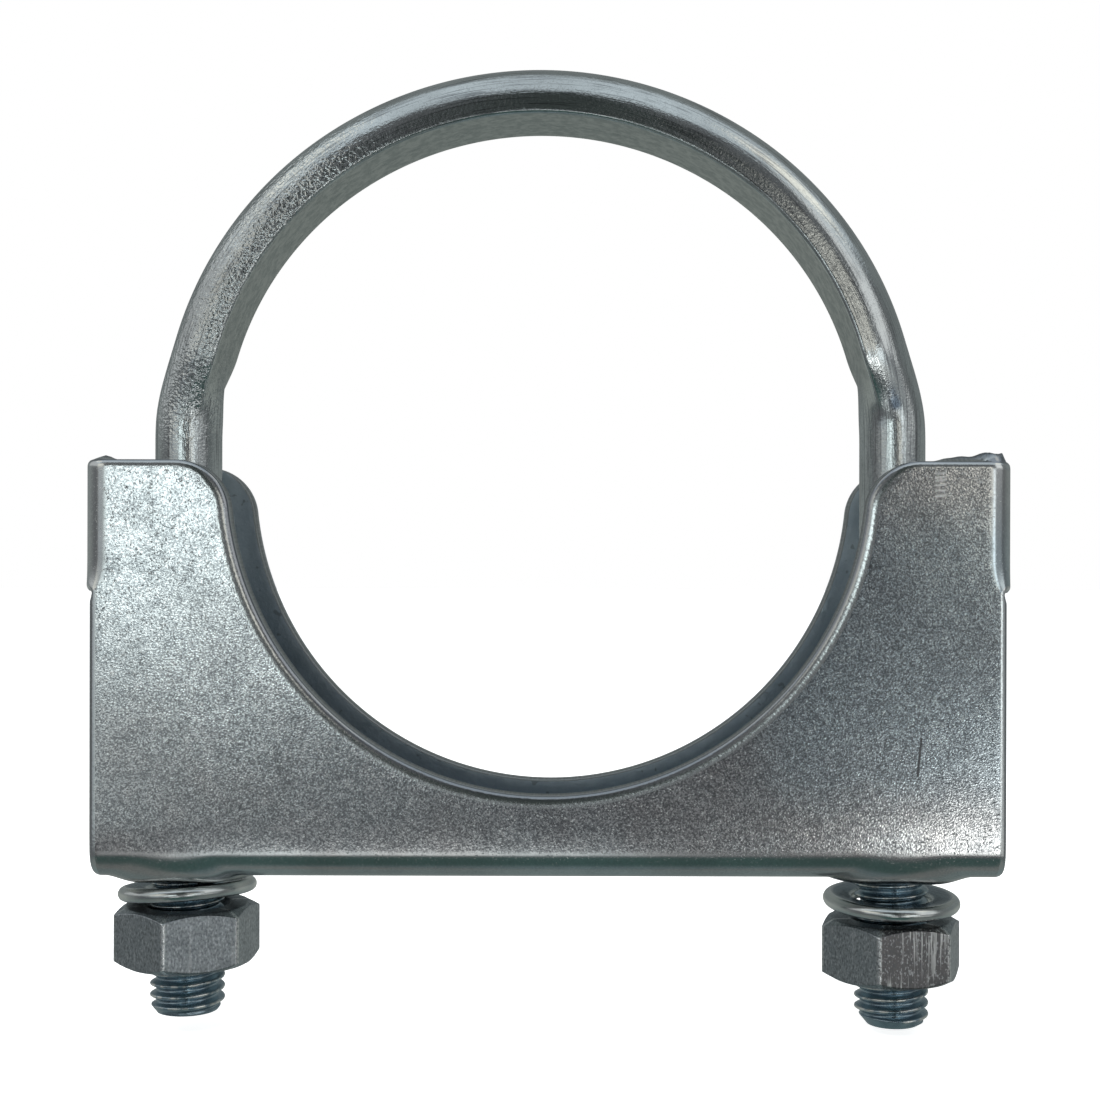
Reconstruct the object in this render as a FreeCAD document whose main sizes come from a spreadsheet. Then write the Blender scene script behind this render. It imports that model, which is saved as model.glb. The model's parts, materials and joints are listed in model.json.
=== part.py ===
"""Exhaust clamp: a U-bolt with a flattened bow, a channel saddle, and a washer and nut on each leg.

Millimetres. The origin is on the axis of the saddle's pipe seat, midway across the saddle.
+Z points to the top of the bow, X runs from leg to leg and Y along the pipe.
"""

import FreeCAD, Part
import math
import os

import Sketcher

doc = FreeCAD.newDocument("pipe_clamp")
sizes = doc.addObject("Spreadsheet::Sheet", "sizes")

DIMENSIONS = [
    # the saddle: a channel of thick sheet, open upwards, with the seat cut across both flanges
    ("seat_radius", 41.4),
    ("seat_corner", 7.0),
    ("saddle_length", 118.3),
    ("saddle_width", 20.9),
    ("saddle_rise", 1.95),
    ("saddle_drop", 52.25),
    ("sheet", 3.3),
    ("bend_outside", 3.8),
    # the ears that close the upper part of each end of the saddle
    ("ear_reach", 60.1),
    ("ear_height", 17.0),
    ("ear_gap", 0.8),
    ("ear_bend", 3.1),
    # the leg holes in the saddle's web, and the pressed boss round each
    ("hole_radius", 5.8),
    ("boss_radius", 9.7),
    ("boss_depth", 1.0),
    # the U-bolt: M10 studs on thinner wire, and a bow pressed to a D-shaped section, flat on the pipe's side
    ("leg_spacing", 94.8),
    ("leg_offset", -1.2),
    ("wire_radius", 4.4),
    ("thread_radius", 5.0),
    ("thread_drop", 20.0),
    ("left_stud_drop", 71.5),
    ("right_stud_drop", 73.1),
    ("stud_chamfer", 1.4),
    ("bow_radius", 44.85),
    ("bow_rise", 2.9),
    ("bow_width", 12.7),
    ("bow_thickness", 7.1),
    ("bow_corner", 0.5),
    ("shoulder_rise", 4.8),
    ("flat_end_angle", 8.0),
    ("leg_top", 2.6),
    # washers
    ("washer_radius", 9.15),
    ("washer_bore", 5.25),
    ("washer_thickness", 1.9),
    ("washer_round", 0.5),
    ("left_washer_drop", 55.22),
    ("left_washer_side_tilt", 3.8),
    ("left_washer_front_tilt", 4.2),
    ("right_washer_drop", 56.6),
    ("right_washer_side_tilt", -1.0),
    ("right_washer_front_tilt", -2.5),
    # nuts
    ("nut_flats", 17.0),
    ("nut_height", 7.9),
    ("nut_bore", 5.06),
    ("nut_face_radius", 8.1),
    ("nut_countersink", 0.7),
    ("left_nut_drop", 65.1),
    ("left_nut_turn", 24.0),
    ("right_nut_drop", 66.75),
    ("right_nut_turn", 11.0),
]


def fill_sheet():
    for row, (alias, value) in enumerate(DIMENSIONS, start=1):
        sizes.set(f"A{row}", alias)
        sizes.set(f"B{row}", str(value))
        sizes.setAlias(f"B{row}", alias)
    doc.recompute()


def size(expression):
    """The number that an expression on the sheet's cells has now."""
    return float(sizes.evalExpression(expression.replace("sizes.", "")))


# ---- helpers for bodies and sketches ----


def new_body(name):
    body = doc.addObject("PartDesign::Body", name)
    body.Label = name
    return body


def origin_feature(body, role):
    return next(f for f in body.Origin.OriginFeatures if f.Role == role)


def new_sketch(body, name, plane="XY_Plane"):
    sketch = body.newObject("Sketcher::SketchObject", name)
    sketch.AttachmentSupport = [(origin_feature(body, plane), "")]
    sketch.MapMode = "FlatFace"
    return sketch


def drive(sketch, expression, kind, *where):
    """Adds a dimension that follows an expression on the sheet."""
    index = sketch.addConstraint(Sketcher.Constraint(kind, *where, size(expression)))
    sketch.setExpression(f"Constraints[{index}]", expression)


def bind(thing, **expressions):
    for name, expression in expressions.items():
        thing.setExpression(name, expression)


def add_circle(sketch, x_expression, y_expression, radius_expression):
    """A circle whose centre is at (x, y) from the sketch's origin; None stands for zero."""
    x = size(x_expression) if x_expression else 0.0
    y = size(y_expression) if y_expression else 0.0
    centre = FreeCAD.Vector(x, y, 0)
    circle = sketch.addGeometry(Part.Circle(centre, FreeCAD.Vector(0, 0, 1), size(radius_expression)))
    drive(sketch, radius_expression, "Radius", circle)
    place_point(sketch, circle, 3, x_expression, y_expression)
    return circle


def place_point(sketch, shape, point, x_expression, y_expression):
    """Holds a point of a sketch shape at (x, y) from the sketch's origin."""
    if x_expression:
        drive(sketch, x_expression, "DistanceX", -1, 1, shape, point)
    else:
        sketch.addConstraint(Sketcher.Constraint("PointOnObject", shape, point, -2))
    if y_expression:
        drive(sketch, y_expression, "DistanceY", -1, 1, shape, point)
    else:
        sketch.addConstraint(Sketcher.Constraint("PointOnObject", shape, point, -1))


def add_outline(sketch, corners):
    """A closed outline of straight lines through corners, each an (x, y) pair of expressions."""
    points = [FreeCAD.Vector(size(x) if x else 0.0, size(y) if y else 0.0, 0) for x, y in corners]
    lines = []
    for start, end in zip(points, points[1:] + points[:1]):
        lines.append(sketch.addGeometry(Part.LineSegment(start, end)))
    for line, following in zip(lines, lines[1:] + lines[:1]):
        sketch.addConstraint(Sketcher.Constraint("Coincident", line, 2, following, 1))
    for line, (x, y) in zip(lines, corners):
        place_point(sketch, line, 1, x, y)
    return lines


def add_rectangle(sketch, left, right, low, high):
    return add_outline(sketch, [(left, low), (right, low), (right, high), (left, high)])


def pad(body, sketch, name, length, symmetric=False, reverse=False):
    feature = body.newObject("PartDesign::Pad", name)
    feature.Profile = sketch
    feature.Midplane = symmetric
    feature.Reversed = reverse
    bind(feature, Length=length)
    doc.recompute()
    return feature


def pocket(body, sketch, name, length, symmetric=False, reverse=False):
    """Cuts a sketch out of the body, and stops if the cut removes nothing."""
    before = body.Shape.Volume
    feature = body.newObject("PartDesign::Pocket", name)
    feature.Profile = sketch
    feature.Midplane = symmetric
    feature.Reversed = reverse
    bind(feature, Length=length)
    doc.recompute()
    if not body.Shape.Volume < before:
        raise ValueError(f"{name} cuts nothing")
    return feature


def dress(body, kind, name, edges, **amounts):
    """A fillet or chamfer on the named edges of the body's last feature."""
    base = body.Tip
    feature = body.newObject(f"PartDesign::{kind}", name)
    feature.Base = (base, edges)
    bind(feature, **amounts)
    doc.recompute()
    return feature


def edges_where(body, test):
    """Names of the edges whose every vertex, and whose middle, pass a test on their position."""
    names = []
    for index, edge in enumerate(body.Shape.Edges, start=1):
        middle = edge.valueAt((edge.FirstParameter + edge.LastParameter) / 2)
        if all(test(point) for point in [middle] + [vertex.Point for vertex in edge.Vertexes]):
            names.append(f"Edge{index}")
    return names


def near(value, target, within=0.01):
    return abs(value - target) < within


# ---- saddle ----


def saddle_channel(body):
    """The U section across the sheet's width, drawn on the end plane and padded along the saddle."""
    half = "sizes.saddle_width / 2"
    inner = "(sizes.saddle_width / 2 - sizes.sheet)"
    floor = "(sizes.sheet - sizes.saddle_drop)"
    section = new_sketch(body, "channel_section", "YZ_Plane")
    add_outline(
        section,
        [
            (f"-{half}", "-sizes.saddle_drop"),
            (half, "-sizes.saddle_drop"),
            (half, "sizes.saddle_rise"),
            (inner, "sizes.saddle_rise"),
            (inner, floor),
            (f"-{inner}", floor),
            (f"-{inner}", "sizes.saddle_rise"),
            (f"-{half}", "sizes.saddle_rise"),
        ],
    )
    pad(body, section, "channel", "sizes.saddle_length", symmetric=True)


def saddle_ear_room(body):
    """Takes the flanges back at the top of each end, where the folded ears take their place."""
    room = new_sketch(body, "ear_room_outline", "XZ_Plane")
    for end in ("-", ""):
        root = f"{end}(sizes.ear_reach - sizes.sheet)"
        clear = f"{end}(sizes.ear_reach + sizes.sheet)"
        low = "(sizes.saddle_rise - sizes.ear_height)"
        add_rectangle(room, root, clear, low, "(sizes.saddle_rise + sizes.sheet)")
    pocket(body, room, "ear_room", "sizes.saddle_width * 2", symmetric=True)


def add_ear(sketch, end, side):
    """One ear seen from above: out from the flange, round the fold and in to the middle.

    end and side are the signs of its X and Y.
    """
    root = f"{end}(sizes.ear_reach - sizes.sheet)"
    fold_x = f"{end}(sizes.ear_reach - sizes.ear_bend)"
    face = f"{end}sizes.ear_reach"
    flank = f"{side}sizes.saddle_width / 2"
    fold_y = f"{side}(sizes.saddle_width / 2 - sizes.ear_bend)"
    tip = f"{side}sizes.ear_gap / 2"
    route = [(fold_x, flank), (root, flank), (root, tip), (face, tip), (face, fold_y)]
    points = [FreeCAD.Vector(size(x), size(y), 0) for x, y in route]
    lines = [sketch.addGeometry(Part.LineSegment(a, b)) for a, b in zip(points, points[1:])]
    for line, following in zip(lines, lines[1:]):
        sketch.addConstraint(Sketcher.Constraint("Coincident", line, 2, following, 1))
    for line, (x, y) in zip(lines, route):
        place_point(sketch, line, 1, x, y)
    centre = FreeCAD.Vector(points[0].x, points[-1].y, 0)
    circle = Part.Circle(centre, FreeCAD.Vector(0, 0, 1), size("sizes.ear_bend"))
    quarter = {("", ""): 0, ("-", ""): 1, ("-", "-"): 2, ("", "-"): 3}[(end, side)]
    fold = sketch.addGeometry(Part.ArcOfCircle(circle, quarter * math.pi / 2, (quarter + 1) * math.pi / 2))
    face_point, flank_point = (1, 2) if quarter % 2 == 0 else (2, 1)
    sketch.addConstraint(Sketcher.Constraint("Tangent", lines[0], 1, fold, flank_point))
    sketch.addConstraint(Sketcher.Constraint("Tangent", lines[-1], 2, fold, face_point))
    sketch.addConstraint(Sketcher.Constraint("Vertical", lines[-1]))


def saddle_ears(body):
    """Four ears, two at each end, folded in from the flanges until they nearly meet."""
    ears = new_sketch(body, "ears_outline")
    for end in ("-", ""):
        for side in ("-", ""):
            add_ear(ears, end, side)
    bind(ears, **{".AttachmentOffset.Base.z": "sizes.saddle_rise"})
    pad(body, ears, "ears", "sizes.ear_height", reverse=True)


def saddle_seat(body):
    """The round pipe seat, and the round corners where it runs out through the flanges' top edges."""
    corner_z = "(sizes.saddle_rise - sizes.seat_corner)"
    reach = "(sizes.seat_radius + sizes.seat_corner)"
    corner_x = f"sqrt({reach} * {reach} - {corner_z} * {corner_z})"
    above = "(sizes.saddle_rise + sizes.sheet)"
    x, z = size(corner_x), size(corner_z)
    lean = math.atan2(-z, x)
    radius, corner = size("sizes.seat_radius"), size("sizes.seat_corner")
    up = FreeCAD.Vector(0, 0, 1)
    outline = new_sketch(body, "seat_outline", "XZ_Plane")
    seat = outline.addGeometry(
        Part.ArcOfCircle(Part.Circle(FreeCAD.Vector(0, 0, 0), up, radius), math.pi + lean, 2 * math.pi - lean)
    )
    right = outline.addGeometry(
        Part.ArcOfCircle(Part.Circle(FreeCAD.Vector(x, z, 0), up, corner), math.pi / 2, math.pi - lean)
    )
    left = outline.addGeometry(
        Part.ArcOfCircle(Part.Circle(FreeCAD.Vector(-x, z, 0), up, corner), lean, math.pi / 2)
    )
    top = size(above)
    edge = size("sizes.saddle_rise")
    points = [(x, edge), (x, top), (-x, top), (-x, edge)]
    rise, lid, fall = (
        outline.addGeometry(Part.LineSegment(FreeCAD.Vector(*a, 0), FreeCAD.Vector(*b, 0)))
        for a, b in zip(points, points[1:])
    )
    joins = [("Tangent", seat, 2, right, 2), ("Tangent", seat, 1, left, 1)]
    joins += [("Coincident", right, 1, rise, 1), ("Coincident", rise, 2, lid, 1)]
    joins += [("Coincident", lid, 2, fall, 1), ("Coincident", fall, 2, left, 2)]
    joins += [("Vertical", rise), ("Horizontal", lid), ("Vertical", fall)]
    joins += [("Vertical", right, 3, right, 1), ("Vertical", left, 3, left, 2)]
    for join in joins:
        outline.addConstraint(Sketcher.Constraint(*join))
    place_point(outline, seat, 3, None, None)
    drive(outline, "sizes.seat_radius", "Radius", seat)
    for arc in (right, left):
        drive(outline, "sizes.seat_corner", "Radius", arc)
        drive(outline, corner_z, "DistanceY", -1, 1, arc, 3)
    drive(outline, above, "DistanceY", -1, 1, rise, 2)
    pocket(body, outline, "seat", "sizes.saddle_width * 2", symmetric=True)


def saddle_leg_holes(body):
    """A round boss pressed down round each leg hole, its hollow in the web's upper side, and the hole."""
    legs_x = ["(sizes.leg_offset - sizes.leg_spacing / 2)", "(sizes.leg_offset + sizes.leg_spacing / 2)"]
    bosses = new_sketch(body, "boss_outline")
    hollows = new_sketch(body, "hollow_outline")
    holes = new_sketch(body, "hole_outline")
    for x in legs_x:
        add_circle(bosses, x, None, "sizes.boss_radius")
        add_circle(hollows, x, None, "sizes.boss_radius - sizes.sheet")
        add_circle(holes, x, None, "sizes.hole_radius")
    bind(bosses, **{".AttachmentOffset.Base.z": "-sizes.saddle_drop"})
    bind(hollows, **{".AttachmentOffset.Base.z": "sizes.sheet - sizes.saddle_drop"})
    pad(body, bosses, "bosses", "sizes.boss_depth", reverse=True)
    pocket(body, hollows, "hollows", "sizes.boss_depth")
    pocket(body, holes, "leg_holes", "sizes.saddle_drop * 2")


def saddle_bends(body):
    """Round outsides on the two long bends."""
    half = size("sizes.saddle_width / 2")
    bottom = -size("sizes.saddle_drop")
    long_bends = edges_where(body, lambda p: near(abs(p.y), half) and near(p.z, bottom))
    dress(body, "Fillet", "long_bends", long_bends, Radius="sizes.bend_outside")


def build_saddle():
    body = new_body("saddle")
    saddle_channel(body)
    saddle_ear_room(body)
    saddle_ears(body)
    saddle_seat(body)
    saddle_leg_holes(body)
    saddle_bends(body)
    return body


# ---- U-bolt ----


MIDDLE = "(sizes.bow_radius + sizes.bow_thickness / 2)"
HALF_SPACING = "(sizes.leg_spacing / 2)"
STEP = "(sizes.shoulder_rise - sizes.bow_rise)"
SQUARES = f"({MIDDLE} * {MIDDLE} - {HALF_SPACING} * {HALF_SPACING} - {STEP} * {STEP})"
# the shoulder arcs touch the bow's arc from inside and run down into the legs' lines
SHOULDER = f"({SQUARES} / (2 * ({MIDDLE} - {HALF_SPACING})))"


def bow_section(body, name):
    """The bow's D section where its flat ends: flat on the pipe's side, round outside, with four edges.

    The sketch's origin is the shoulder arc's centre, and its X runs out along the radius there.
    """
    section = new_sketch(body, name)
    turned = FreeCAD.Rotation(FreeCAD.Vector(0, 1, 0), -size("sizes.flat_end_angle"))
    section.AttachmentOffset = FreeCAD.Placement(FreeCAD.Vector(0, 0, 0), turned)
    bind(
        section,
        **{
            ".AttachmentOffset.Base.x": f"{HALF_SPACING} - {SHOULDER}",
            ".AttachmentOffset.Base.z": "sizes.shoulder_rise",
        },
    )
    half, thick = size("sizes.bow_width / 2"), size("sizes.bow_thickness")
    corner = size("sizes.bow_corner")
    flat_radius = f"({SHOULDER} - sizes.bow_thickness / 2)"
    flat = size(flat_radius)
    # the outer arc passes through the crown and touches both corner arcs from inside
    rise = "(sizes.bow_thickness - sizes.bow_corner)"
    side = "(sizes.bow_width / 2 - sizes.bow_corner)"
    spare = "(sizes.bow_thickness - 2 * sizes.bow_corner)"
    squares = f"({rise} * {rise} + {side} * {side} - sizes.bow_corner * sizes.bow_corner)"
    outer_radius = f"{squares} / (2 * {spare})"
    outer = size(outer_radius)
    centre_x = flat + thick - outer
    up = FreeCAD.Vector(0, 0, 1)
    lean = math.atan2(half - corner, flat + corner - centre_x)
    face = section.addGeometry(
        Part.LineSegment(FreeCAD.Vector(flat, half - corner, 0), FreeCAD.Vector(flat, corner - half, 0))
    )
    low_circle = Part.Circle(FreeCAD.Vector(flat + corner, corner - half, 0), up, corner)
    low = section.addGeometry(Part.ArcOfCircle(low_circle, math.pi, 2 * math.pi - lean))
    crown_circle = Part.Circle(FreeCAD.Vector(centre_x, 0, 0), up, outer)
    crown = section.addGeometry(Part.ArcOfCircle(crown_circle, -lean, lean))
    high_circle = Part.Circle(FreeCAD.Vector(flat + corner, half - corner, 0), up, corner)
    high = section.addGeometry(Part.ArcOfCircle(high_circle, lean, math.pi))
    ring = [(face, 2, low, 1), (low, 2, crown, 1), (crown, 2, high, 1), (high, 2, face, 1)]
    for join in ring:
        section.addConstraint(Sketcher.Constraint("Tangent", *join))
    place_point(section, face, 1, flat_radius, side)
    place_point(section, face, 2, flat_radius, f"-{side}")
    drive(section, "sizes.bow_corner", "Radius", low)
    drive(section, "sizes.bow_corner", "Radius", high)
    drive(section, outer_radius, "Radius", crown)
    return section


def leg_section(body):
    """The round wire at the top of the right leg, in four arcs that match the D section's four edges."""
    section = new_sketch(body, "leg_section")
    bind(section, **{".AttachmentOffset.Base.z": "sizes.leg_top"})
    centre = FreeCAD.Vector(size(HALF_SPACING), 0, 0)
    wire = Part.Circle(centre, FreeCAD.Vector(0, 0, 1), size("sizes.wire_radius"))
    corners = [math.radians(a) for a in (130, 230, 250, 470, 490)]
    arcs = [section.addGeometry(Part.ArcOfCircle(wire, a, b)) for a, b in zip(corners, corners[1:])]
    for arc, following in zip(arcs, arcs[1:] + arcs[:1]):
        section.addConstraint(Sketcher.Constraint("Tangent", arc, 2, following, 1))
    drive(section, "sizes.wire_radius", "Radius", arcs[0])
    place_point(section, arcs[0], 3, HALF_SPACING, None)
    return section


def bow_path(body):
    """The middle of the bar round the bow: one wide arc, with a slightly tighter arc down each shoulder."""
    path = new_sketch(body, "bow_path", "XZ_Plane")
    middle, shoulder = size(MIDDLE), size(SHOULDER)
    side = size(f"{HALF_SPACING} - {SHOULDER}")
    rise, low = size("sizes.shoulder_rise"), size("sizes.bow_rise")
    join = math.atan2(rise - low, side)
    end = math.radians(size("sizes.flat_end_angle"))
    up = FreeCAD.Vector(0, 0, 1)

    def arc(x, z, radius, start, stop):
        circle = Part.Circle(FreeCAD.Vector(x, z, 0), up, radius)
        return path.addGeometry(Part.ArcOfCircle(circle, start, stop))

    right = arc(side, rise, shoulder, end, join)
    top = arc(0, low, middle, join, math.pi - join)
    left = arc(-side, rise, shoulder, math.pi - join, math.pi - end)
    path.addConstraint(Sketcher.Constraint("Tangent", right, 2, top, 1))
    path.addConstraint(Sketcher.Constraint("Tangent", top, 2, left, 1))
    place_point(path, top, 3, None, "sizes.bow_rise")
    drive(path, MIDDLE, "Radius", top)
    for piece, end_point in ((right, 1), (left, 2)):
        drive(path, SHOULDER, "Radius", piece)
        drive(path, "sizes.shoulder_rise", "DistanceY", -1, 1, piece, 3)
        end_z = f"sizes.shoulder_rise + {SHOULDER} * sin(sizes.flat_end_angle)"
        drive(path, end_z, "DistanceY", -1, 1, piece, end_point)
    return path


def u_bolt_bow(body):
    """The D section swept round the pipe, and blended at each end into the round wire of a leg."""
    section = bow_section(body, "bow_section")
    path = bow_path(body)
    doc.recompute()
    bow = body.newObject("PartDesign::AdditivePipe", "bow")
    bow.Profile = section
    bow.Spine = (path, ["Edge1", "Edge2", "Edge3"])
    doc.recompute()
    shoulder = body.newObject("PartDesign::AdditiveLoft", "shoulder")
    shoulder.Profile = bow_section(body, "shoulder_section")
    shoulder.Sections = [leg_section(body)]
    doc.recompute()
    mirror_across(body, shoulder, "other_shoulder")


def mirror_across(body, feature, name):
    """Repeats a feature on the other leg."""
    mirrored = body.newObject("PartDesign::Mirrored", name)
    mirrored.Originals = [feature]
    mirrored.MirrorPlane = (origin_feature(body, "YZ_Plane"), [""])
    body.Tip = mirrored
    doc.recompute()
    return mirrored


def u_bolt_legs(body):
    """Round wire down to where the thread starts, then the threaded studs at the thread's outer radius."""
    wires = new_sketch(body, "wire_outline")
    for side in ("-", ""):
        add_circle(wires, f"{side}sizes.leg_spacing / 2", None, "sizes.wire_radius")
    bind(wires, **{".AttachmentOffset.Base.z": "sizes.leg_top"})
    pad(body, wires, "wires", "sizes.leg_top + sizes.thread_drop", reverse=True)
    for side, sign in (("left", "-"), ("right", "")):
        stud = new_sketch(body, f"{side}_stud_outline")
        add_circle(stud, f"{sign}sizes.leg_spacing / 2", None, "sizes.thread_radius")
        bind(stud, **{".AttachmentOffset.Base.z": "-sizes.thread_drop"})
        pad(body, stud, f"{side}_stud", f"sizes.{side}_stud_drop - sizes.thread_drop", reverse=True)
    ends = [-size(f"sizes.{side}_stud_drop") for side in ("left", "right")]
    rims = edges_where(body, lambda p: any(near(p.z, end) for end in ends))
    dress(body, "Chamfer", "stud_ends", rims, Size="sizes.stud_chamfer")


def build_u_bolt():
    body = new_body("u_bolt")
    u_bolt_bow(body)
    u_bolt_legs(body)
    bind(body, **{".Placement.Base.x": "sizes.leg_offset"})
    return body


# ---- washers and nuts ----


def stand_on_leg(body, side, height):
    """Moves a piece made on its own origin to the left or right leg, at a height below the seat's axis."""
    sign = "-" if side == "left" else "+"
    bind(
        body,
        **{
            ".Placement.Base.x": f"sizes.leg_offset {sign} sizes.leg_spacing / 2",
            ".Placement.Base.z": height,
        },
    )


def build_washer(side):
    body = new_body(f"{side}_washer")
    ring = new_sketch(body, f"{side}_washer_outline")
    add_circle(ring, None, None, "sizes.washer_radius")
    add_circle(ring, None, None, "sizes.washer_bore")
    pad(body, ring, f"{side}_washer_ring", "sizes.washer_thickness", symmetric=True)
    radius = size("sizes.washer_radius")
    rims = edges_where(body, lambda p: near(math.hypot(p.x, p.y), radius) and abs(p.z) > 0.1)
    rims = [name for name in rims if body.Shape.getElement(name).Closed]
    dress(body, "Fillet", f"{side}_washer_rims", rims, Radius="sizes.washer_round")
    # each washer hangs loose on its thread: side_tilt lifts its +X side and front_tilt its -Y side
    lift_side = FreeCAD.Rotation(FreeCAD.Vector(0, 1, 0), -size(f"sizes.{side}_washer_side_tilt"))
    lift_front = FreeCAD.Rotation(FreeCAD.Vector(1, 0, 0), -size(f"sizes.{side}_washer_front_tilt"))
    body.Placement.Rotation = lift_side.multiply(lift_front)
    stand_on_leg(body, side, f"-sizes.{side}_washer_drop")
    return body


def nut_prism(body, side):
    """The hexagon: six equal lines with their corners on one circle."""
    outline = new_sketch(body, f"{side}_nut_outline")
    corner_radius = "sizes.nut_flats / sqrt(3)"
    radius = size(corner_radius)
    angles = [math.radians(60 * turn) for turn in range(6)]
    points = [FreeCAD.Vector(radius * math.cos(a), radius * math.sin(a), 0) for a in angles]
    lines = [outline.addGeometry(Part.LineSegment(a, b)) for a, b in zip(points, points[1:] + points[:1])]
    circle = outline.addGeometry(Part.Circle(FreeCAD.Vector(0, 0, 0), FreeCAD.Vector(0, 0, 1), radius), True)
    place_point(outline, circle, 3, None, None)
    drive(outline, corner_radius, "Radius", circle)
    for line, following in zip(lines, lines[1:] + lines[:1]):
        outline.addConstraint(Sketcher.Constraint("Coincident", line, 2, following, 1))
        outline.addConstraint(Sketcher.Constraint("PointOnObject", line, 1, circle))
    for line in lines[1:]:
        outline.addConstraint(Sketcher.Constraint("Equal", lines[0], line))
    outline.addConstraint(Sketcher.Constraint("Horizontal", lines[1]))
    pad(body, outline, f"{side}_nut_prism", "sizes.nut_height")


def nut_bevels(body, side):
    """A shallow cone turned on the corners of both faces."""
    profile = new_sketch(body, f"{side}_nut_bevel_outline", "XZ_Plane")
    outside = "(sizes.nut_flats * 2 / 3)"
    slope = f"({outside} - sizes.nut_face_radius) * tan(30)"
    top = [("sizes.nut_face_radius", "sizes.nut_height"), (outside, "sizes.nut_height")]
    top.append((outside, f"sizes.nut_height - {slope}"))
    add_outline(profile, top)
    add_outline(profile, [("sizes.nut_face_radius", None), (outside, None), (outside, slope)])
    before = body.Shape.Volume
    groove = body.newObject("PartDesign::Groove", f"{side}_nut_bevels")
    groove.Profile = profile
    groove.ReferenceAxis = (profile, ["V_Axis"])
    groove.Angle = 360.0
    doc.recompute()
    if not body.Shape.Volume < before:
        raise ValueError(f"{side}_nut_bevels cuts nothing")


def build_nut(side):
    body = new_body(f"{side}_nut")
    nut_prism(body, side)
    nut_bevels(body, side)
    bore = new_sketch(body, f"{side}_nut_bore_outline")
    add_circle(bore, None, None, "sizes.nut_bore")
    pocket(body, bore, f"{side}_nut_bore", "sizes.nut_height * 4", symmetric=True)
    radius = size("sizes.nut_bore")
    rims = edges_where(body, lambda p: near(math.hypot(p.x, p.y), radius))
    rims = [name for name in rims if body.Shape.getElement(name).Closed]
    dress(body, "Chamfer", f"{side}_nut_countersinks", rims, Size="sizes.nut_countersink")
    body.Placement.Rotation = FreeCAD.Rotation(FreeCAD.Vector(0, 0, 1), size(f"sizes.{side}_nut_turn"))
    stand_on_leg(body, side, f"-sizes.{side}_nut_drop")
    return body


# ---- the document ----


def check_document():
    for thing in doc.Objects:
        if {"Invalid", "Error"} & set(thing.State):
            raise ValueError(f"{thing.Name} is {thing.State}")


def export(bodies):
    os.makedirs("parts", exist_ok=True)
    for body in bodies:
        shape = body.Shape
        if shape.isNull() or not shape.isValid():
            raise ValueError(f"{body.Label} has no valid shape")
        shape.exportStep(f"parts/{body.Label}.step")
        box = shape.BoundBox
        sides = ((box.XMin, box.XMax), (box.YMin, box.YMax), (box.ZMin, box.ZMax))
        reach = "  ".join(f"{low:.2f} to {high:.2f}" for low, high in sides)
        print(f"{body.Label}: {len(shape.Solids)} solid, {shape.Volume:.0f} mm3, {reach}")


def main():
    fill_sheet()
    bodies = [build_u_bolt(), build_saddle()]
    for side in ("left", "right"):
        bodies.append(build_washer(side))
        bodies.append(build_nut(side))
    doc.recompute()
    check_document()
    export(bodies)


main()
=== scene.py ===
"""Looks of the exhaust clamp: meshes for its six pieces, zinc-plated steel materials, light and camera.

Lengths are in millimetres in the CAD frame until a mesh is made: the origin is on the axis of the pipe seat,
+Z points to the top of the bow, X runs from leg to leg and Y along the pipe.
"""

import json
import math

import bmesh
import bpy
import numpy as np
from mathutils import Matrix, Vector, geometry, kdtree


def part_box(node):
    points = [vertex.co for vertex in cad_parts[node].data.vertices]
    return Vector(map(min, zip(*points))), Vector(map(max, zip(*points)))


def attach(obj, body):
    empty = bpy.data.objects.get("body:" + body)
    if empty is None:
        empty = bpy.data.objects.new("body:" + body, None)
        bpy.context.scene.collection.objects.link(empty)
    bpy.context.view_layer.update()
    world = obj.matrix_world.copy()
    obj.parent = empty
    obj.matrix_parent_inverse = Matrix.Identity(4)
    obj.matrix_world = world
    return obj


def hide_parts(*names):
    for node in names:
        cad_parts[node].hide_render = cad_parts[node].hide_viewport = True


MM = 0.001
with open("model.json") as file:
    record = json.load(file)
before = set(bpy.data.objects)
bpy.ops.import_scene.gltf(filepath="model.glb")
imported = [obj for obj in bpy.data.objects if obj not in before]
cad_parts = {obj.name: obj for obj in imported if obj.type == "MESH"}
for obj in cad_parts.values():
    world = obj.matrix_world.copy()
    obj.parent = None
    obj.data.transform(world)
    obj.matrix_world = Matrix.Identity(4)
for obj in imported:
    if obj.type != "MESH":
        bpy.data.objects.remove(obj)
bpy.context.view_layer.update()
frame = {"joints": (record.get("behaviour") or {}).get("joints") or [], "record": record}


def box_mm(node):
    low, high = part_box(node)
    return low / MM, high / MM


def joint(name):
    return next(j for j in frame["joints"] if j["name"] == name)


# ---- sizes that the frame gives ----

SADDLE_LOW, SADDLE_HIGH = box_mm("saddle")
BOLT_LOW = box_mm("u_bolt")[0]
SEAT = frame["record"]["mounts"][0]["dims"]["r_mm"]
LEG_X = {side: joint(f"{side}_nut_spin")["pos_m"][0] / MM for side in ("left", "right")}
LEG_OFFSET = (LEG_X["left"] + LEG_X["right"]) / 2
HALF_SPACING = (LEG_X["right"] - LEG_X["left"]) / 2

# ---- sizes of the pressed sheet ----

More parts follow.
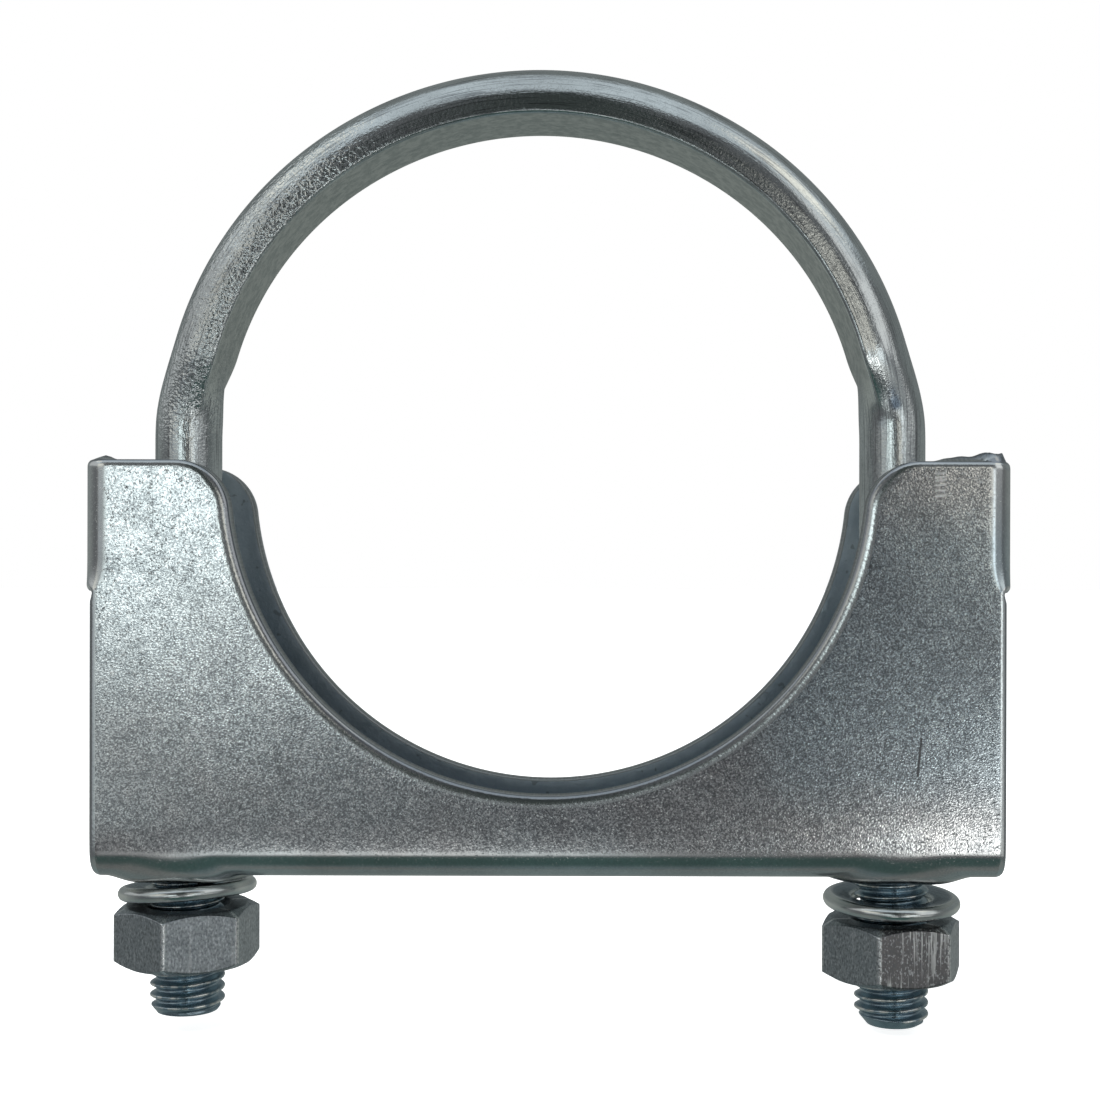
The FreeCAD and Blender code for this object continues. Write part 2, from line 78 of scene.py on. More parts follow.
SHEET = 3.3
BOSS_DEPTH = 1.0
BOSS_INNER = 8.2
BOSS_OUTER = 11.8
HALF_WIDTH = SADDLE_HIGH.y
TOP = SADDLE_HIGH.z
WEB_Z = SADDLE_LOW.z + BOSS_DEPTH
BEND = 3.8
WEB_HALF = HALF_WIDTH - BEND
FLANGE_START = WEB_HALF + BEND * math.pi / 2
END_X = 59.15
SEAT_CORNER = 7.0
HOLE = 5.8
EAR_REACH = SADDLE_HIGH.x
EAR_LOW = TOP - 17.0
EAR_BEND = 3.1
EAR_GAP = 0.8
EAR_INNER_BEND = 0.3
FOLD_X = EAR_REACH - EAR_BEND
EAR_LENGTH = EAR_BEND * math.pi / 2 + HALF_WIDTH - EAR_BEND - EAR_GAP / 2
# over this height at its lower end, an ear's bend tightens to a share of its radius and its face draws in
EAR_TAPER = 4.6
EAR_LOW_BEND = 0.22
EAR_DRAW_IN = 0.42
# from here out, the sheet's inner face is gathered to fit inside the folded ears
SQUEEZE_FROM = 50.0
# the rounding that the die leaves on the outer side of a cut edge
ROLL_WIDTH = 0.9
ROLL_DEPTH = 0.6

# ---- sizes of the U-bolt ----

BOW_RADIUS = 44.85
BOW_RISE = 2.9
BOW_HALF_WIDTH = 6.35
BOW_THICKNESS = 7.1
BOW_CORNER = 0.5
BOW_SIDE = 1.25
SHOULDER_RISE = 4.8
# the bow's D section starts to round off this far up its shoulder, over this length of bar
FLAT_END = math.radians(16.5)
ROUNDING = 11.0
LEG_TOP = 3.4
WIRE = 4.4
THREAD_TOP = -20.0
PITCH = 1.5
CREST = 4.95
ROOT = 4.12
STUD_END = {"left": -71.5, "right": -73.1}
TURN_ROWS = 12
TURN_COLUMNS = 48
CAP_ROWS = 5

# ---- sizes of the washers and nuts ----

WASHER = 9.15
WASHER_BORE = 5.25
WASHER_THICKNESS = 1.9
WASHER_DROP = {"left": 55.22, "right": 56.6}
WASHER_TILT = {"left": (3.8, 4.2), "right": (-1.0, -2.5)}
NUT_FLATS = 17.0
NUT_HEIGHT = 7.9
NUT_BORE = 5.06
# the radius of the nut's bearing face inside its chamfer, and of its cut-back corners
NUT_FACE = 8.1
NUT_CORNER = 9.74
COUNTERSINK = 0.7
NUT_DROP = {"left": 65.1, "right": 66.75}
NUT_TURN = {"left": 24.0, "right": 11.0}


def smoothstep(low, high, value):
    t = np.clip((np.asarray(value, float) - low) / (high - low), 0.0, 1.0)
    return t * t * (3 - 2 * t)


def bump_at(value, centre, width):
    return np.exp(-(((np.asarray(value, float) - centre) / width) ** 2))


# ---- meshes ----


def make_piece(name, points, faces, materials, kinds=None, weld=0.0, **values):
    """A smooth mesh object from points in millimetres.

    kinds gives each face's material, and values are per-point numbers that the materials read. Points closer
    together than weld are joined.
    """
    mesh = bpy.data.meshes.new(name)
    mesh.from_pydata((np.asarray(points) * MM).tolist(), [], [list(f) for f in faces])
    for material in materials:
        mesh.materials.append(material)
    if kinds is not None:
        mesh.polygons.foreach_set("material_index", kinds)
    for key, numbers in values.items():
        mesh.attributes.new(key, "FLOAT", "POINT").data.foreach_set("value", np.asarray(numbers, np.float32))
    work = bmesh.new()
    work.from_mesh(mesh)
    if weld:
        bmesh.ops.remove_doubles(work, verts=work.verts, dist=weld * MM)
        bmesh.ops.dissolve_degenerate(work, edges=work.edges, dist=weld * MM * 0.1)
    bmesh.ops.recalc_face_normals(work, faces=work.faces)
    work.to_mesh(mesh)
    work.free()
    mesh.polygons.foreach_set("use_smooth", [True] * len(mesh.polygons))
    mesh.update()
    piece = bpy.data.objects.new(name, mesh)
    bpy.context.scene.collection.objects.link(piece)
    return piece


def grid_faces(rows, columns):
    """Quads between rows of points, with each row's last point joined to its first."""
    faces = []
    for i in range(rows - 1):
        a, b = i * columns, (i + 1) * columns
        for j in range(columns):
            k = (j + 1) % columns
            faces.append((a + j, a + k, b + k, b + j))
    return faces


def torus_faces(rows, columns):
    """The same quads, with the last row joined to the first as well."""
    count = rows * columns
    return [tuple(i % count for i in face) for face in grid_faces(rows + 1, columns)]


# ---- saddle: one sheet, drawn flat and then bent ----


def flat_height(z):
    """How far across the flat sheet a flange's point at height z lies from the middle of the web."""
    return FLANGE_START + z - (WEB_Z + BEND)


def ear_shape(z):
    """The fold's outer radius and the ear's reach at a height: both shrink at the ear's lower end."""
    up = np.clip((z - EAR_LOW) / EAR_TAPER, 0.0, 1.0)
    full = np.sqrt(1 - (1 - up) ** 2)
    bend = EAR_BEND * (EAR_LOW_BEND + (1 - EAR_LOW_BEND) * full)
    return bend, EAR_REACH - EAR_DRAW_IN * (1 - full)


def bent_web(s, depth):
    """Y and Z of a point across the channel: the web, a bend and a flange."""
    across = np.abs(s)
    turn = np.clip((across - WEB_HALF) / BEND, 0.0, math.pi / 2)
    rise = np.maximum(across - FLANGE_START, 0.0)
    y = np.minimum(across, WEB_HALF) + (BEND - depth) * np.sin(turn)
    z = WEB_Z + BEND - (BEND - depth) * np.cos(turn) + rise
    return y, z


def bent_ear(out, z, share):
    """X and Y of a point past the fold line, at a share of the sheet's thickness below its outer face."""
    bend, reach = ear_shape(z)
    flat = reach - bend - FOLD_X
    length = flat + bend * math.pi / 2 + HALF_WIDTH - bend - EAR_GAP / 2
    past = np.maximum(out - FOLD_X, 0.0)
    plain = END_X - FOLD_X
    beyond = np.maximum(past - plain, 0.0)
    along = np.minimum(past, plain) + beyond * (length - plain) / (EAR_LENGTH - plain)
    turned = np.clip((along - flat) / bend, 0.0, math.pi / 2)
    inward = np.maximum(along - flat - bend * math.pi / 2, 0.0)
    outer_x = np.minimum(out, FOLD_X) + np.minimum(along, flat) + bend * np.sin(turned)
    outer_y = HALF_WIDTH - bend * (1 - np.cos(turned)) - inward
    corner = EAR_REACH - SHEET - EAR_INNER_BEND
    shrink = (corner - SQUEEZE_FROM) / (FOLD_X + flat - SQUEEZE_FROM)
    squeezed = np.where(out > SQUEEZE_FROM, SQUEEZE_FROM + (out - SQUEEZE_FROM) * shrink, out)
    squeezed = np.minimum(squeezed, corner)
    inner_x = squeezed + EAR_INNER_BEND * np.sin(turned)
    inner_run = HALF_WIDTH - SHEET - EAR_INNER_BEND - EAR_GAP / 2
    outer_run = HALF_WIDTH - bend - EAR_GAP / 2
    inner_y = HALF_WIDTH - SHEET - EAR_INNER_BEND * (1 - np.cos(turned)) - inward * inner_run / outer_run
    x = outer_x + (inner_x - outer_x) * share
    y = outer_y + (inner_y - outer_y) * share
    return x, y, squeezed


def bent(x, s, depth):
    """Where a point of the flat sheet lies in the pressing.

    x is along the sheet, s is across it and depth is below its outer face.
    """
    x, s, depth = (np.asarray(v, float) for v in (x, s, depth))
    side, end = np.where(s < 0, -1.0, 1.0), np.where(x < 0, -1.0, 1.0)
    out, share = np.abs(x), depth / SHEET
    y, z = bent_web(s, depth)
    ear_x, ear_y, squeezed = bent_ear(out, z, share)
    in_ear = smoothstep(EAR_LOW - 1.5, EAR_LOW, z)
    folded = z > EAR_LOW - 0.02
    x_out = np.where(folded & (out > SQUEEZE_FROM), ear_x, out + (squeezed - out) * share * in_ear)
    y = np.where(folded & (out > FOLD_X), ear_y, y)
    x_now = end * x_out
    to_leg = np.minimum(np.hypot(x_now - LEG_X["left"], y), np.hypot(x_now - LEG_X["right"], y))
    in_boss = 1 - smoothstep(BOSS_INNER, BOSS_OUTER, to_leg)
    in_web = 1 - smoothstep(WEB_Z + 1.6, WEB_Z + 5.2, z - depth)
    z = z - BOSS_DEPTH * (in_boss * in_web) + top_lips(x_now, side * y, z, share)
    # rolled sheet is never quite flat
    wave = 0.02 * np.sin(x_now * 0.21 + 1.0) * np.sin(z * 0.17) + 0.005 * np.sin(x_now * 0.55 + z * 0.35)
    y = y + wave * smoothstep(FLANGE_START, FLANGE_START + 5, np.abs(s))
    # and it starts to turn in a little before the bend
    near_bend = np.clip(1 - (z - WEB_Z - BEND) / 4.0, 0.0, 1.0) ** 2
    y = y - 0.09 * near_bend * smoothstep(0.5, 3.0, z - WEB_Z)
    # the pressing sits a little to the right of the seat's axis at its ends
    x_now = x_now + 0.13 * (np.abs(x_now) / EAR_REACH) ** 4
    return np.stack([x_now, side * y, z], axis=-1)


def top_lips(x, y, z, share):
    """How far the sheet's inner side stands above its top edge, where folding the ears pushed it up."""
    near_top = smoothstep(TOP - 2.2, TOP - 0.1, z)
    at_fold = smoothstep(55.0, 58.0, np.abs(x))
    inner = smoothstep(0.0, 1.0, (share - 0.30 + 0.20 * at_fold) / (0.45 - 0.25 * at_fold))
    # three of the folds have a small rounded lip
    lift = 0.62 * bump_at(np.abs(x), 57.7, 1.1) * bump_at(np.abs(y), 7.6, 1.8)
    # the front right one has a long swell that ends in two torn peaks
    front_right = (x > 0) & (y < 0)
    swell = 0.72 * smoothstep(49.0, 53.5, x) * (1 - smoothstep(59.2, 59.45, x))
    peak = 0.52 * bump_at(x, 57.0, 1.3) + 0.35 * bump_at(x, 58.9, 0.5)
    ripple = 0.05 * np.sin(x * 2.6)
    torn = (swell + peak + ripple * smoothstep(50.0, 52.0, x)) * smoothstep(-5.0, -6.6, y)
    return near_top * inner * np.where(front_right, np.maximum(torn, 0.0), lift)


def arc_points(centre, radius, start, stop, spacing):
    """Points on an arc from angle start to angle stop, in degrees, about one spacing apart."""
    count = max(3, math.ceil(abs(math.radians(stop - start)) * radius / spacing))
    angles = [math.radians(start + (stop - start) * i / count) for i in range(count + 1)]
    return [(centre[0] + radius * math.cos(a), centre[1] + radius * math.sin(a)) for a in angles]


def line_points(start, stop, spacing):
    """Points on a straight line, without its last one, about one spacing apart."""
    count = max(1, math.ceil(math.dist(start, stop) / spacing))
    return [tuple(a + (b - a) * i / count for a, b in zip(start, stop)) for i in range(count)]


def flange_outline(spacing):
    """One flange's edge in the flat sheet, from the right end's middle round the seat to the left end's."""
    top, low = flat_height(TOP), flat_height(EAR_LOW)
    tip = FOLD_X + EAR_LENGTH
    corner_z = TOP - SEAT_CORNER
    corner_x = math.sqrt((SEAT + SEAT_CORNER) ** 2 - corner_z**2)
    lean = math.degrees(math.atan2(-corner_z, corner_x))
    notch, tip_corner = 0.35, 0.9
    right = line_points((END_X, 0), (END_X, low - notch), spacing)
    right += arc_points((END_X + notch, low - notch), notch, 180, 90, spacing / 4)
    right += line_points((END_X + notch + spacing, low), (tip - tip_corner, low), spacing)
    right += arc_points((tip - tip_corner, low + tip_corner), tip_corner, -90, 0, spacing / 2)
    right += line_points((tip, low + tip_corner + spacing), (tip, top - tip_corner), spacing)
    right += arc_points((tip - tip_corner, top - tip_corner), tip_corner, 0, 90, spacing / 2)
    right += line_points((tip - tip_corner - spacing, top), (corner_x, top), spacing)
    right += arc_points((corner_x, flat_height(corner_z)), SEAT_CORNER, 90, 180 - lean, spacing)
    right += arc_points((0, flat_height(0)), SEAT, -lean, -90, spacing)[1:]
    left = [(-x, y) for x, y in reversed(right[1:-1])]
    return right + left


def inward_directions(loop):
    """Unit vectors into the sheet at each point of an outline that runs anticlockwise."""
    ahead = np.roll(loop, -1, axis=0) - np.roll(loop, 1, axis=0)
    inward = np.stack([-ahead[:, 1], ahead[:, 0]], axis=1)
    return inward / np.linalg.norm(inward, axis=1, keepdims=True)


def inside(points, loop):
    """Whether each point lies inside a closed outline."""
    result = np.zeros(len(points), bool)
    for (ax, ay), (bx, by) in zip(loop, np.roll(loop, -1, axis=0)):
        if ay == by:
            continue
        crosses = (ay > points[:, 1]) != (by > points[:, 1])
        result ^= crosses & (points[:, 0] < (bx - ax) * (points[:, 1] - ay) / (by - ay) + ax)
    return result


def distance_to(points, loops):
    """Distance from each point to the nearest outline point."""
    every = np.concatenate(loops)
    tree = kdtree.KDTree(len(every))
    for index, (x, y) in enumerate(every):
        tree.insert((x, y, 0), index)
    tree.balance()
    return np.array([tree.find((x, y, 0))[2] for x, y in points])


def stations(marks):
    """Grid lines through marks, each (from, to, spacing)."""
    lines = []
    for low, high, spacing in marks:
        count = max(1, round((high - low) / spacing))
        lines += [low + (high - low) * i / count for i in range(count)]
    return lines + [marks[-1][1]]


def sheet_grid():
    """Points that fill the flat sheet: close together where it is bent, further apart where it is flat."""
    out = stations([(0, 36, 1.2), (36, 54, 0.9), (54, 63, 0.3), (63, FOLD_X + EAR_LENGTH, 0.9)])
    xs = sorted({-x for x in out} | set(out))
    ear = flat_height(EAR_LOW)
    up = stations([(0, WEB_HALF, 0.8), (WEB_HALF, FLANGE_START, 0.3), (FLANGE_START, FLANGE_START + 4, 0.6)])
    up += stations([(FLANGE_START + 4.8, ear - 2, 1.1)])
    up += stations([(ear - 1.5, ear + EAR_TAPER, 0.35)])
    up += stations([(ear + EAR_TAPER + 0.8, flat_height(TOP) - 3.0, 0.9)])
    up += stations([(flat_height(TOP) - 2.4, flat_height(TOP), 0.4)])
    ss = sorted({-s for s in up} | set(up))
    return np.array([(x, s) for x in xs for s in ss])


def sheet_face(loops, grid):
    """Triangles between the sheet's outline and its holes, and each loop point's place in them."""
    keep = inside(grid, loops[0])
    for hole in loops[1:]:
        keep &= ~inside(grid, hole)
    grid = grid[keep]
    grid = grid[distance_to(grid, loops) > 0.3]
    points = np.concatenate(loops + [grid])
    edges, start = [], 0
    for loop in loops:
        count = len(loop)
        edges += [(start + i, start + (i + 1) % count) for i in range(count)]
        start += count
    made = geometry.delaunay_2d_cdt([Vector(p) for p in points], edges, [], 2, 1e-5)
    place = {}
    for index, sources in enumerate(made[3]):
        for source in sources:
            place[source] = index
    return np.array([tuple(v) for v in made[0]]), [list(f) for f in made[2]], place


def edge_profile():
    """Steps round the sheet's cut edge: (inset, depth) from the outer face's die roll to the inner face."""
    steps = []
    for i in range(7):
        a = math.pi / 2 * i / 6
        steps.append((ROLL_WIDTH * (1 - math.sin(a)), ROLL_DEPTH * (1 - math.cos(a))))
    steps += [(0.0, 0.95), (0.01, 1.4), (0.03, 1.8), (-0.02, 2.15), (0.02, 2.5), (-0.02, 2.85)]
    steps += [(0.0, SHEET - 0.14), (0.05, SHEET - 0.03), (0.16, SHEET)]
    return steps


def roll_share(loop):
    """How wide the die roll is at each outline point: the seat was cut last and is rolled over further."""
    z = np.abs(loop[:, 1]) - FLANGE_START + WEB_Z + BEND
    in_seat = (np.abs(loop[:, 0]) < 50.0) & (z > WEB_Z + BEND)
    return 1.0 + 0.7 * in_seat * smoothstep(TOP - 0.2, TOP - 2.5, z)


def arc_length(loop):
    steps = np.linalg.norm(np.roll(loop, -1, axis=0) - loop, axis=1)
    return np.concatenate([[0.0], np.cumsum(steps)[:-1]])


def smooth_zone(flat):
    """1 on the sheet's bends and folds, where forming has polished it, and 0 on its flats."""
    x, s = np.abs(flat[:, 0]), np.abs(flat[:, 1])
    bend = smoothstep(FLANGE_START + 0.6, FLANGE_START - 0.9, s)
    z = s - FLANGE_START + WEB_Z + BEND
    radius, reach = ear_shape(z)
    fold = smoothstep(-0.5, 0.5, x - (reach - radius)) * (z > EAR_LOW - 0.1)
    return np.maximum(bend, fold)


def build_saddle(materials):
    half = flange_outline(0.5)
    outline = half + [(-x, -s) for x, s in half]
    outline = [p for p, q in zip(outline, outline[1:] + outline[:1]) if math.dist(p, q) > 0.02]
    holes = [arc_points((x, 0), HOLE, 0, -360, 0.6)[:-1] for x in LEG_X.values()]
    loops = [np.array(outline)] + [np.array(hole) for hole in holes]
    inward = [inward_directions(loop) for loop in loops]
    rolls = [roll_share(loop) for loop in loops]
    profile = edge_profile()
    grid = sheet_grid()
    flats, depths, arounds, faces, kinds = [], [], [], [], []

    def add(flat, depth, around=0.0):
        start = sum(len(f) for f in flats)
        flats.append(flat)
        depths.append(np.full(len(flat), depth))
        arounds.append(np.zeros(len(flat)) + around)
        return start

    rims = {}
    for kind, (inset, depth) in enumerate((profile[0], profile[-1])):
        insets = [direction * (inset * roll[:, None]) for direction, roll in zip(inward, rolls)]
        flat, triangles, place = sheet_face([loop + shift for loop, shift in zip(loops, insets)], grid)
        start = add(flat, depth)
        faces += [[start + i for i in f] for f in triangles]
        kinds += [kind] * len(triangles)
        offset = 0
        for number, loop in enumerate(loops):
            rims[kind, number] = [start + place[offset + i] for i in range(len(loop))]
            offset += len(loop)
    for number, (loop, direction) in enumerate(zip(loops, inward)):
        around = arc_length(loop)
        rings = [rims[0, number]]
        for inset, depth in profile[1:-1]:
            start = add(loop + direction * (inset * rolls[number][:, None]), depth, around)
            rings.append([start + i for i in range(len(loop))])
        rings.append(rims[1, number])
        for ring, following in zip(rings, rings[1:]):
            for i in range(len(loop)):
                j = (i + 1) % len(loop)
                faces.append([ring[i], ring[j], following[j], following[i]])
                kinds.append(2)
    flat, depth = np.concatenate(flats), np.concatenate(depths)
    points = bent(flat[:, 0], flat[:, 1], depth)
    lifted = smoothstep(TOP + 0.15, TOP + 0.6, points[:, 2])
    values = {"depth": depth, "around": np.concatenate(arounds)}
    values.update(formed=smooth_zone(flat), lifted=lifted)
    return make_piece("saddle_pressing", points, faces, materials, kinds, weld=0.0005, **values)


# ---- U-bolt: a D section round the bow, round wire in the legs, threads on the studs ----


def d_outline():
    """The bow's section as (out from its flat, along the pipe), starting in the middle of the flat."""
    corner, wall = BOW_CORNER, BOW_SIDE
    half = [(0.0, v) for v in np.linspace(0.0, BOW_HALF_WIDTH - corner, 9)[:-1]]
    for angle in np.linspace(180, 90, 6):
        a = math.radians(angle)
        half.append((corner + corner * math.cos(a), BOW_HALF_WIDTH - corner + corner * math.sin(a)))
    half += [(u, BOW_HALF_WIDTH - 0.10 * (u - corner)) for u in np.linspace(corner, wall, 4)[1:]]
    rise, side = BOW_THICKNESS - wall, BOW_HALF_WIDTH - 0.10 * (wall - corner)
    for angle in np.linspace(0, 90, 20)[1:]:
        a = math.radians(angle)
        half.append((wall + rise * math.sin(a) ** 0.92, side * math.cos(a) ** 0.98))
    other = [(u, -v) for u, v in reversed(half[1:-1])]
    return np.array(half + other)


def bow_frames():
    """Middle, outward direction and roundness of each section, from the left thread to the right one.

    Roundness is 0 where the section is the bow's D and 1 where it is round wire.
    """
    middle = BOW_RADIUS + BOW_THICKNESS / 2
    step = SHOULDER_RISE - BOW_RISE
    shoulder = (middle**2 - HALF_SPACING**2 - step**2) / (2 * (middle - HALF_SPACING))
    side = HALF_SPACING - shoulder
    join = math.atan2(step, side)
    frames = []
    for angle in np.linspace(math.pi / 2, join, 78):
        frames.append((middle * math.cos(angle), BOW_RISE + middle * math.sin(angle), angle, 0.0))
    for angle in np.linspace(join, FLAT_END, 46)[1:]:
        x = side + shoulder * math.cos(angle)
        z = SHOULDER_RISE + shoulder * math.sin(angle)
        frames.append((x, z, angle, 0.0))
    run = shoulder * FLAT_END + SHOULDER_RISE - LEG_TOP
    for t in np.linspace(0.0, 1.0, 32)[1:]:
        gone = run * t
        angle = max(FLAT_END - gone / shoulder, 0.0)
        down = max(gone - shoulder * FLAT_END, 0.0)
        x = side + shoulder * math.cos(angle)
        z = SHOULDER_RISE + shoulder * math.sin(angle) - down
        frames.append((x, z, angle, float(smoothstep(0.0, ROUNDING, gone))))
    for z in np.linspace(LEG_TOP, THREAD_TOP, 14)[1:]:
        frames.append((HALF_SPACING, z, 0.0, 1.0))
    left = [(-x, z, math.pi - angle, roundness) for x, z, angle, roundness in reversed(frames[1:])]
    return left + frames


def bow_points():
    """Points of the bar's sections, and for each its flatness and its place along and round the bar."""
    outline = d_outline()
    about = outline - np.array([BOW_THICKNESS / 2, 0.0])
    angles = np.arctan2(about[:, 1], about[:, 0])
    wire = WIRE * np.stack([np.cos(angles), np.sin(angles)], axis=1)
    on_flat = outline[:, 0] < 0.02
    steps = np.linalg.norm(outline - np.roll(outline, 1, axis=0), axis=1)
    around = np.cumsum(steps)
    points, flat, along, across = [], [], [], []
    gone, last = 0.0, None
    for x, z, angle, roundness in bow_frames():
        gone += math.dist(last, (x, z)) if last else 0.0
        last = (x, z)
        along.append(np.full(len(outline), gone))
        across.append(around)
        section = about * (1 - roundness) + wire * roundness
        outward = np.array([math.cos(angle), 0.0, math.sin(angle)])
        middle = np.array([x + LEG_OFFSET, 0.0, z])
        points.append(middle + section[:, :1] * outward + section[:, 1:] * np.array([0.0, -1.0, 0.0]))
        flat.append(on_flat * (1 - roundness))
    marks = {"pressed": flat, "along": along, "across": across}
    return points, {name: np.concatenate(rows) for name, rows in marks.items()}


def thread_radius(phase):
    """The thread's radius at a phase of its pitch, 0 at the crest."""
    away = np.abs((phase + 0.5) % 1.0 - 0.5)
    rounded = 0.6 * smoothstep(0.05, 0.44, away)
    straight = 0.4 * np.clip((away - 0.05) / 0.39, 0, 1)
    return ROOT + (CREST - ROOT) * (1 - rounded - straight)


def stud_limit(side, turn, above_end):
    """The stud's largest radius near its end, at an angle round it and a height above the end."""
    if side == "left":
        return 4.05 + np.minimum(above_end, 1.3) * 0.75
    # the right stud's end was cut at a slant, and its left side is worn away more
    worn = 0.5 - 0.5 * np.cos(turn)
    at_end = 3.3 + 0.35 * (1 - worn)
    widening = np.minimum(above_end / (0.75 + 1.25 * worn), 1.0)
    return at_end + widening * (1.7 - 0.35 * (1 - worn))


def stud_points(side):
    """A right-hand thread down one stud: each row of points climbs one pitch on its way round."""
    top, end = THREAD_TOP, STUD_END[side]
    turns = math.ceil((top - end) / PITCH) + 2
    turn = np.arange(TURN_COLUMNS) / TURN_COLUMNS * math.tau
    rows = np.arange(-TURN_ROWS, turns * TURN_ROWS)
    raw = end + PITCH * (rows[:, None] / TURN_ROWS + turn[None, :] / math.tau)
    z = np.clip(raw, end, top)
    radius = thread_radius((z - end) / PITCH - turn[None, :] / math.tau)
    radius = np.minimum(radius, stud_limit(side, turn[None, :], z - end))
    runout = smoothstep(THREAD_TOP - 2.0, THREAD_TOP, z)
    radius = radius * (1 - runout) + (WIRE - 0.1) * runout
    x = LEG_X[side] + radius * np.cos(turn)
    y = radius * np.sin(turn)
    points = np.stack([x, y, z], axis=-1)
    faces = []
    for i in range(len(rows) - 1):
        a, b = i * TURN_COLUMNS, (i + 1) * TURN_COLUMNS
        for j in range(TURN_COLUMNS - 1):
            faces.append((a + j, a + j + 1, b + j + 1, b + j))
        if i + 1 + TURN_ROWS < len(rows):
            # a row's last point joins the start of the row one turn up
            next_a, next_b = (i + TURN_ROWS) * TURN_COLUMNS, (i + 1 + TURN_ROWS) * TURN_COLUMNS
            faces.append((a + TURN_COLUMNS - 1, next_a, next_b, b + TURN_COLUMNS - 1))
    return points.reshape(-1, 3), faces


def stud_caps(side):
    """The stud's end face, with the slight dome that a shear leaves."""
    end = STUD_END[side]
    turn = np.arange(TURN_COLUMNS) / TURN_COLUMNS * math.tau
    edge = np.minimum(thread_radius(-turn / math.tau), stud_limit(side, turn, np.zeros(TURN_COLUMNS)))
    points = []
    for i in range(CAP_ROWS):
        share = 1 - i / CAP_ROWS
        x = LEG_X[side] + edge * share * np.cos(turn)
        y = edge * share * np.sin(turn)
        z = np.full(TURN_COLUMNS, end - 0.12 * (1 - share**2))
        points.append(np.stack([x, y, z], axis=1))
    centre = [[LEG_X[side], 0.0, end - 0.12]]
    faces = grid_faces(CAP_ROWS, TURN_COLUMNS)
    last = (CAP_ROWS - 1) * TURN_COLUMNS
    faces += [(last + j, last + (j + 1) % TURN_COLUMNS, last + TURN_COLUMNS) for j in range(TURN_COLUMNS)]
    return np.concatenate(points + [centre]), faces


def build_u_bolt(materials):
    rows, values = bow_points()
    columns = len(rows[0])
    points = [np.concatenate(rows)]
    faces = grid_faces(len(rows), columns)
    kinds = [0] * len(faces)
    for first in (0, (len(rows) - 1) * columns):
        faces.append([first + j for j in range(columns)])
        kinds.append(0)
    start = len(points[0])
    for side in ("left", "right"):
        for part, part_faces in (stud_points(side), stud_caps(side)):
            faces += [tuple(start + i for i in f) for f in part_faces]
            kinds += [1] * len(part_faces)
            points.append(part)
            start += len(part)
    pad = np.zeros(start - len(points[0]))
    values = {name: np.concatenate([numbers, pad]) for name, numbers in values.items()}
    points = np.concatenate(points)
    from_axis = np.minimum(*(np.hypot(points[:, 0] - x, points[:, 1]) for x in LEG_X.values()))
    values["crest"] = smoothstep(CREST - 0.22, CREST - 0.02, from_axis)
    return make_piece("u_bolt_bar", points, faces, materials, kinds, weld=0.002, **values)


# ---- washers ----


def washer_profile():
    """Half the washer's section as (radius, height): a full round rim and a face that dips to the bore."""
    half = WASHER_THICKNESS / 2
    steps = []
    for angle in np.linspace(90, -90, 17):
        a = math.radians(angle)
        steps.append((WASHER - half + half * math.cos(a), half * math.sin(a)))
    for radius in (7.7, 7.2, 6.7, 6.2, 5.8, 5.5):
        steps.append((radius, -half + 0.05 * (WASHER - half - radius)))
    steps += [(WASHER_BORE + 0.1, -half + 0.22), (WASHER_BORE, -half + 0.4), (WASHER_BORE, half - 0.75)]
    steps.append((WASHER_BORE + 0.1, half - 0.5))
    for radius in (5.5, 5.8, 6.2, 6.7, 7.2, 7.7):
        steps.append((radius, half - 0.13 * (WASHER - half - radius)))
    return np.array(steps)


def build_washer(side, material):
    profile = washer_profile()
    columns = 360
    turn = np.arange(columns) / columns * math.tau
    teeth = 0.5 + 0.5 * np.sin(turn * 60)
    points, serrated = [], []
    for radius, height in profile:
        on_face = float(smoothstep(5.4, 5.7, radius) * smoothstep(8.15, 7.7, radius))
        serrated.append(np.full(columns, on_face))
        z = height - math.copysign(0.07, height) * on_face * teeth
        points.append(np.stack([radius * np.cos(turn), radius * np.sin(turn), z], axis=1))
    points = np.concatenate(points)
    faces = torus_faces(len(profile), columns)
    across, front = (math.radians(tilt) for tilt in WASHER_TILT[side])
    turned = Matrix.Rotation(-across, 3, "Y") @ Matrix.Rotation(-front, 3, "X")
    centre = np.array([LEG_X[side], 0.0, -WASHER_DROP[side]])
    points = points @ np.array(turned).T + centre
    return make_piece(f"{side}_washer_ring", points, faces, [material], serrated=np.concatenate(serrated))


# ---- nuts ----


def nut_column(angle):
    """One column of points down the nut's outside at an angle from a flat's middle: (radius, height)."""
    outer = min(NUT_FLATS / 2 / math.cos(angle), NUT_CORNER)
    cone = (outer - NUT_FACE) * math.tan(math.radians(30))
    inner = NUT_BORE + COUNTERSINK
    steps = [(NUT_BORE, NUT_HEIGHT / 2), (NUT_BORE, NUT_HEIGHT - COUNTERSINK)]
    steps += [(radius, NUT_HEIGHT) for radius in (inner, inner + 0.15, NUT_FACE - 0.15, NUT_FACE)]
    for share in (0.25, 0.6, 0.9):
        steps.append((NUT_FACE + (outer - NUT_FACE) * share, NUT_HEIGHT - cone * share))
    side_top, side_low = NUT_HEIGHT - cone, cone
    steps += [(outer - 0.01, side_top + 0.03), (outer, side_top - 0.12)]
    steps += [(outer, side_low + (side_top - side_low) * share) for share in (0.8, 0.6, 0.4, 0.2)]
    steps += [(outer, side_low + 0.12), (outer - 0.01, side_low - 0.03)]
    for share in (0.9, 0.6, 0.25):
        steps.append((NUT_FACE + (outer - NUT_FACE) * share, cone * share))
    steps += [(radius, 0.0) for radius in (NUT_FACE, NUT_FACE - 0.15, inner + 0.15, inner)]
    return steps + [(NUT_BORE, COUNTERSINK)]


